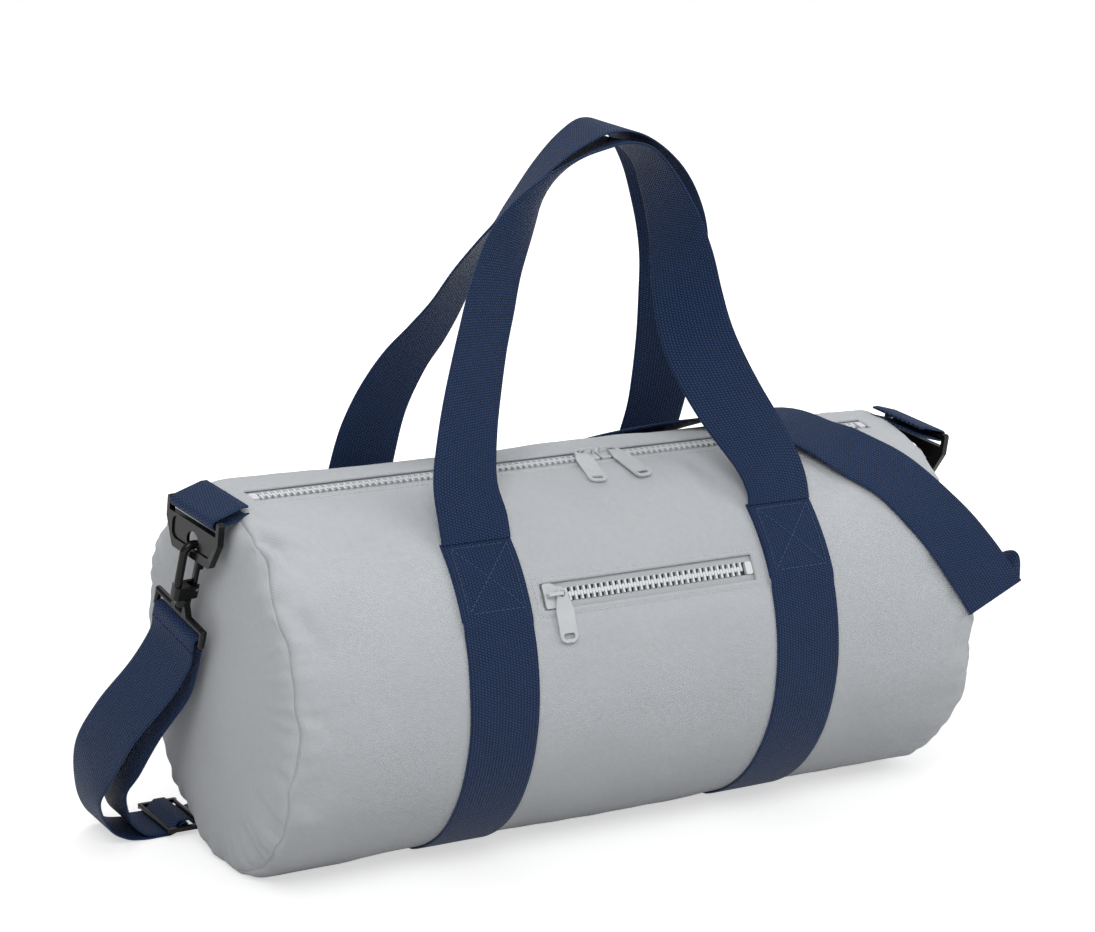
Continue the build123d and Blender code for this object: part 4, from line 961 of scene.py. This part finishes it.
# The lining's black cloth is coloured a lighter grey here: painted light that lifts the shade deep
# in the pocket's slot.
lining.surface(
    base_color=lining.blend(lining_fuzz, (0.14, 0.145, 0.15, 1), (0.22, 0.225, 0.23, 1)),
    roughness=0.85 + lining_fuzz * 0.1)
lining.relief(lining_fuzz, 0.0002, 0.5)
dress("pocket_lining", lining)

enamel = Finish("painted_casting")
spot = enamel.solid_place()
orange_peel = enamel.grain(spot, 420, 2)
rubbed = enamel.grain(spot, 90, 3)
enamel.surface(
    base_color=enamel.blend(rubbed, (0.47, 0.485, 0.50, 1), (0.60, 0.615, 0.63, 1)),
    roughness=0.26 + orange_peel * 0.18, coat_weight=0.25, coat_roughness=0.2)
enamel.relief(orange_peel, 0.00006, 0.4)
for node, body in (("main_slider_left", "left_slider"), ("main_slider_right", "right_slider"),
                   ("pocket_slider", "front_slider")):
    softened(node + "_casting", node, body, enamel, SLIDER_EDGE)
for node, body in (("main_pull_left", "left_pull"), ("main_pull_right", "right_pull"),
                   ("pocket_pull", "front_pull")):
    softened(node + "_tab", node, body, enamel, PULL_EDGE, 3)


# ---- Clips and strap slider ------------------------------------
# Injection-moulded black acetal: a tri-ring in each end tab, a swivel snap hook on it, the frame
# that carries the strap, and the strap slider. A steel pin holds each sprung gate.
black = Finish("black_acetal")
spot = black.solid_place()
scuffs = black.grain(spot, 130, 4, 0.6)
skin = black.grain(spot, 1500, 2)
black.surface(
    base_color=black.blend(scuffs, (0.0025, 0.0025, 0.0028, 1), (0.0075, 0.0075, 0.008, 1)),
    roughness=0.13 + scuffs * 0.12 + skin * 0.03)
black.shader.inputs["Specular IOR Level"].default_value = 0.22
black.relief(scuffs + skin * 0.3, 0.00004, 0.3)

steel = Finish("pin_steel")
brushed = steel.grain(steel.solid_place(), 2200, 2)
steel.surface(
    base_color=steel.blend(brushed, (0.45, 0.45, 0.47, 1), (0.62, 0.62, 0.64, 1)), metallic=1.0,
    roughness=0.28 + brushed * 0.15)

MOULDINGS = [  # part, node, eased edge, segments of that edge
    ("ring", "ring", 0.0007, 3), ("hook", "snap_hook", 0.0005, 2), ("gate", "hook_gate", 0.0003, 2),
    ("frame", "swivel_frame", 0.0004, 2)]
for end, _ in ENDS:
    for part, node, edge, segments in MOULDINGS:
        name, body = part + "_moulding_" + end, end + "_" + part
        softened(name, node + "_" + end, body, black, edge, segments)
    dress("gate_pin_" + end, steel)
softened("slider_moulding", "strap_slider", "root", black, 0.0003)


# ---- End tabs --------------------------------------------------
# A short loop of webbing at each end. It comes out of the seam, turns round the ring's top bar and
# goes back into the seam.
TAB_DROP = radians(16.0)
BAR_RADIUS = 0.0022
PLAY = 0.0003
TAB_REACH = 0.0235
TAB_TUCK = 0.0012  # how far the upper ply's end dips into the seam
TAB_STEPS = 6  # stations on each ply
TURN_STEPS = 12  # stations on a turn of webbing round a bar

for end, side in ENDS:
    tilt = joint_by_name[end + "_ring_tilt"]
    bar = Vector(tilt["pos_m"])
    bar_way = Vector(tilt["axis"]).normalized()
    if bar_way.x * side > 0:
        bar_way = -bar_way
    level = Vector((0, 0, 1)).cross(bar_way).normalized()
    if level.x * side < 0:
        level = -level
    up = bar_way.cross(level)
    if up.z < 0:
        up = -up
    out = (level * cos(TAB_DROP) - up * sin(TAB_DROP)).normalized()
    rise = (up * cos(TAB_DROP) + level * sin(TAB_DROP)).normalized()
    hug = BAR_RADIUS + PLAY + WEB / 2
    turn = []
    for k in range(TURN_STEPS + 1):
        a = pi / 2 - pi * k / TURN_STEPS
        turn.append(bar + out * hug * cos(a) + rise * hug * sin(a))
    shares = [k / TAB_STEPS for k in range(TAB_STEPS + 1)]
    upper = [bar - out * TAB_REACH * (1 - share) + rise * hug for share in shares[:-1]]
    lower = [bar - out * TAB_REACH * share - rise * hug for share in shares[1:]]
    upper[0] = upper[0] - rise * TAB_TUCK
    around = [(p, bar_way) for p in upper + turn + lower]
    loop = webbing("tab_" + end, around, "root", waves=0.0003, seed=side)
    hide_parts("ring_tab_" + end)


# ---- Shoulder strap --------------------------------------------
# One length of webbing. It turns round the left clip's frame, hangs doubled to the slider on the
# floor, goes up behind the bag and over it, folds beside the right end and climbs to the right clip.
SLIDER_AT = (-254.0, 84.0)
SLIDER_BAR = 3.2
SLIDER_PITCH = 12.0
WEB_MM = WEB / MM
GAP_MM = WEB_GAP / MM
BAR_HEIGHT = 2 * WEB_MM + 4 * GAP_MM + SLIDER_BAR / 2
SEWN_IN = SLIDER_BAR / 2 + GAP_MM
OVER_BAR = BAR_HEIGHT + SEWN_IN + WEB_MM + GAP_MM + WEB_MM / 2
ENTRY = SLIDER_AT[0] - SLIDER_PITCH - 6.0
LOW_PLY = GAP_MM + WEB_MM / 2
HIGH_PLY = 2 * GAP_MM + 1.5 * WEB_MM
STRAP_LIFT = 2.2
STRAP_STEPS = 8
STRAP_WRAP = [(-116, -103), (-80, -92), (-10, -67), (38, -46), (84, -27), (128, -8)]
STRAP_EDGES = [
    ((126, 9.5, 4), (168, 9.0, -4)), ((150, 8.0, 25), (192, 9.0, 16)),
    ((170, 4.2, 36.5), (206, 8.5, 23)), ((190, 3.4, 46.6), (229, 5.0, 34.2)),
    ((210, 3.2, 62), (252, 3.4, 51.6)),
    ((225, 3.4, 74), (267, 4.0, 64)), ((241, 4.4, 86), (285, 4.6, 78))]


def strap_point(x, radius, angle):
    a = radians(angle)
    return Vector((x, -radius * sin(a), AXIS_Z / MM + radius * cos(a)))


def in_metres(path):
    return [(Vector(c) * MM, Vector(w)) for c, w in path]


def main_run():
    x, y = SLIDER_AT
    flat = (0, 1, 0)
    through = [((px, y, pz), flat) for px, pz in (
        (ENTRY + GAP_MM, HIGH_PLY), (x - SLIDER_PITCH + 1.5, HIGH_PLY), (x - 3.5, OVER_BAR),
        (x + 3.5, OVER_BAR), (x + SLIDER_PITCH - 1.5, HIGH_PLY))]
    path = [
        ((x + SLIDER_PITCH + 4, y, LOW_PLY + 0.3), flat), ((-228, 88, 2.6), (0, 0.97, -0.05)),
        ((-205, 103, 14), (0.15, 0.85, -0.5)), ((-182, 119, 36), (0.5, 0.45, -0.74)),
        ((-150, 129.5, 72), (0.66, 0.1, -0.75))]
    radius = RADIUS / MM + STRAP_LIFT + WEB_MM / 2
    for before, here, after in zip(STRAP_WRAP, STRAP_WRAP[1:], STRAP_WRAP[2:]):
        run = strap_point(after[0], radius, after[1]) - strap_point(before[0], radius, before[1])
        run.normalize()
        centre = strap_point(here[0], radius, here[1])
        path.append((centre, (centre - Vector((here[0], 0, AXIS_Z / MM))).normalized().cross(run)))
    for front, back in STRAP_EDGES:
        f = strap_point(front[0], RADIUS / MM + front[1], front[2])
        b = strap_point(back[0], RADIUS / MM + back[1], back[2])
        path.append(((f + b) * 0.5, b - f))
    return in_metres(through) + smoothed(in_metres(path), STRAP_STEPS)


run = main_run()
strap = webbing("strap_run", run, "root", waves=0.0005, seed=7)
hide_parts("shoulder_strap")

x, y = SLIDER_AT
low_bar = BAR_HEIGHT - SEWN_IN - WEB_MM / 2
sewn = [((ENTRY + GAP_MM, y, LOW_PLY), (0, 1, 0)), ((x - SLIDER_PITCH + 2, y, LOW_PLY), (0, 1, 0)),
        ((x - 4, y, low_bar), (0, 1, 0))]
ply_radius = SEWN_IN + WEB_MM / 2
for k in range(TURN_STEPS + 1):
    a = -pi / 2 + 1.5 * pi * k / TURN_STEPS
    sewn.append(((x + ply_radius * cos(a), y, BAR_HEIGHT + ply_radius * sin(a)), (0, 1, 0)))
sewn_end = webbing("strap_sewn_turn", in_metres(sewn), "root", waves=0.0)
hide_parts("strap_sewn_end")

FRAME_BAR = 0.00225  # radius
FRAME_LOWER = -0.0524  # the strap's bar, up from the crown
LOOP_TAIL = 0.006
LONG_TAIL = 0.030
PLY_GAP = 0.0005
PLY_STEPS = 5


def clip_axes(end):
    """The clip's crown centre and its own directions: along its bar, outwards and up."""
    swivel = joint_by_name[end + "_frame_swivel"]
    gate = joint_by_name[end + "_gate_press"]
    up = Vector(swivel["axis"]).normalized()
    bar_way = -Vector(gate["axis"]).normalized()
    return Vector(swivel["pos_m"]), bar_way, up.cross(bar_way), up


def ply_end(end, side):
    crown, bar_way, out, up = clip_axes(end)
    ply = side * (FRAME_BAR + PLAY + WEB / 2)
    return crown + out * ply + up * (FRAME_LOWER - LOOP_TAIL - PLY_GAP), bar_way, -up


def bar_loop(end, tail_in, tail_out):
    """The strap's turn round the frame's lower bar."""
    crown, bar_way, out, up = clip_axes(end)
    ply = FRAME_BAR + PLAY + WEB / 2
    centre = crown + up * FRAME_LOWER
    shares = [k / PLY_STEPS for k in range(PLY_STEPS + 1)]
    stations = [centre - out * ply - up * tail_in * (1 - share) for share in shares[:-1]]
    for k in range(TURN_STEPS + 1):
        a = pi - pi * k / TURN_STEPS
        stations.append(centre + out * ply * cos(a) + up * ply * sin(a))
    stations += [centre + out * ply - up * tail_out * share for share in shares[1:]]
    around = [(p, bar_way) for p in stations]
    loop = webbing("strap_turn_" + end, around, end + "_frame", waves=0.0)
    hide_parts("strap_loop_" + end)


bar_loop("left", LOOP_TAIL, LOOP_TAIL)
bar_loop("right", LONG_TAIL, LOOP_TAIL)


def hanging(name, path, cuts, node):
    """A stretch of webbing in pieces, cut at the given stations; the pieces ride on no body."""
    travelled = 0.0
    for n, (first, last) in enumerate(zip(cuts, cuts[1:] + (len(path) - 1,))):
        part = path[first:last + 1]
        piece = webbing(f"{name}_{n + 1}", part, None, start_length=travelled, waves=0.0)
        travelled += sum((b[0] - a[0]).length for a, b in zip(part, part[1:]))
        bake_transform(piece)
        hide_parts(node)


outer, wide, down = ply_end("left", 1)
inner, _, _ = ply_end("left", -1)
flat = Vector((0, 1, 0)) if wide.y > 0 else Vector((0, -1, 0))
outer_rest = [
    ((-290, 18, 122), wide), ((-306, 38, 92), wide), ((-315, 57, 62), wide), ((-315, 73, 34), flat),
    ((-306, 81, 13), flat), ((-294, y, 3.6), flat), ((-282, y, LOW_PLY + 0.2), flat),
    ((ENTRY, y, LOW_PLY), flat)]
inner_rest = [
    ((-277, 18, 122), wide), ((-289, 38, 92), wide), ((-297, 56, 64), wide), ((-298, 71, 38), flat),
    ((-292, 80, 17), flat), ((-284, y, 6.6), flat), ((-278, y, HIGH_PLY + 0.6), flat),
    ((ENTRY, y, HIGH_PLY), flat)]
outer_path = [(outer, wide), (outer + down * 0.012, wide)] + in_metres(outer_rest)
inner_path = [(inner, wide), (inner + down * 0.010, wide)] + in_metres(inner_rest)
DROP_CUTS = (0, 24, 44)  # where the pieces start, in smoothed stations
CLIMB_CUTS = (0, 12, 24)
outer_path = smoothed(outer_path, STRAP_STEPS)
inner_path = smoothed(inner_path, STRAP_STEPS)
hanging("strap_drop_outer", outer_path, DROP_CUTS, "strap_drop_left")
hanging("strap_drop_inner", inner_path, DROP_CUTS, "strap_drop_left")

fold, fold_way = run[-1]
top_end, top_bar, top_down = ply_end("right", 1)
if top_bar.dot(fold_way) < 0:
    top_bar = -top_bar
fold_way = fold_way.normalized()
climb = [(fold + Vector((0.3, 2.6, -0.6)) * MM, fold_way)]
climb += in_metres([((268, -122, 141), (0.9, 0.1, 0.42)), ((274, -109, 147), (0.5, -0.3, 0.81))])
climb += [(top_end + top_down * 0.018 + Vector((3, -5, 0)) * MM, fold_way * 0.1 + top_bar * 0.9),
          (top_end + top_down * 0.008, top_bar), (top_end, top_bar)]
climb_path = list(reversed(smoothed(climb, STRAP_STEPS)))
hanging("strap_climb", climb_path, CLIMB_CUTS, "strap_return_right")
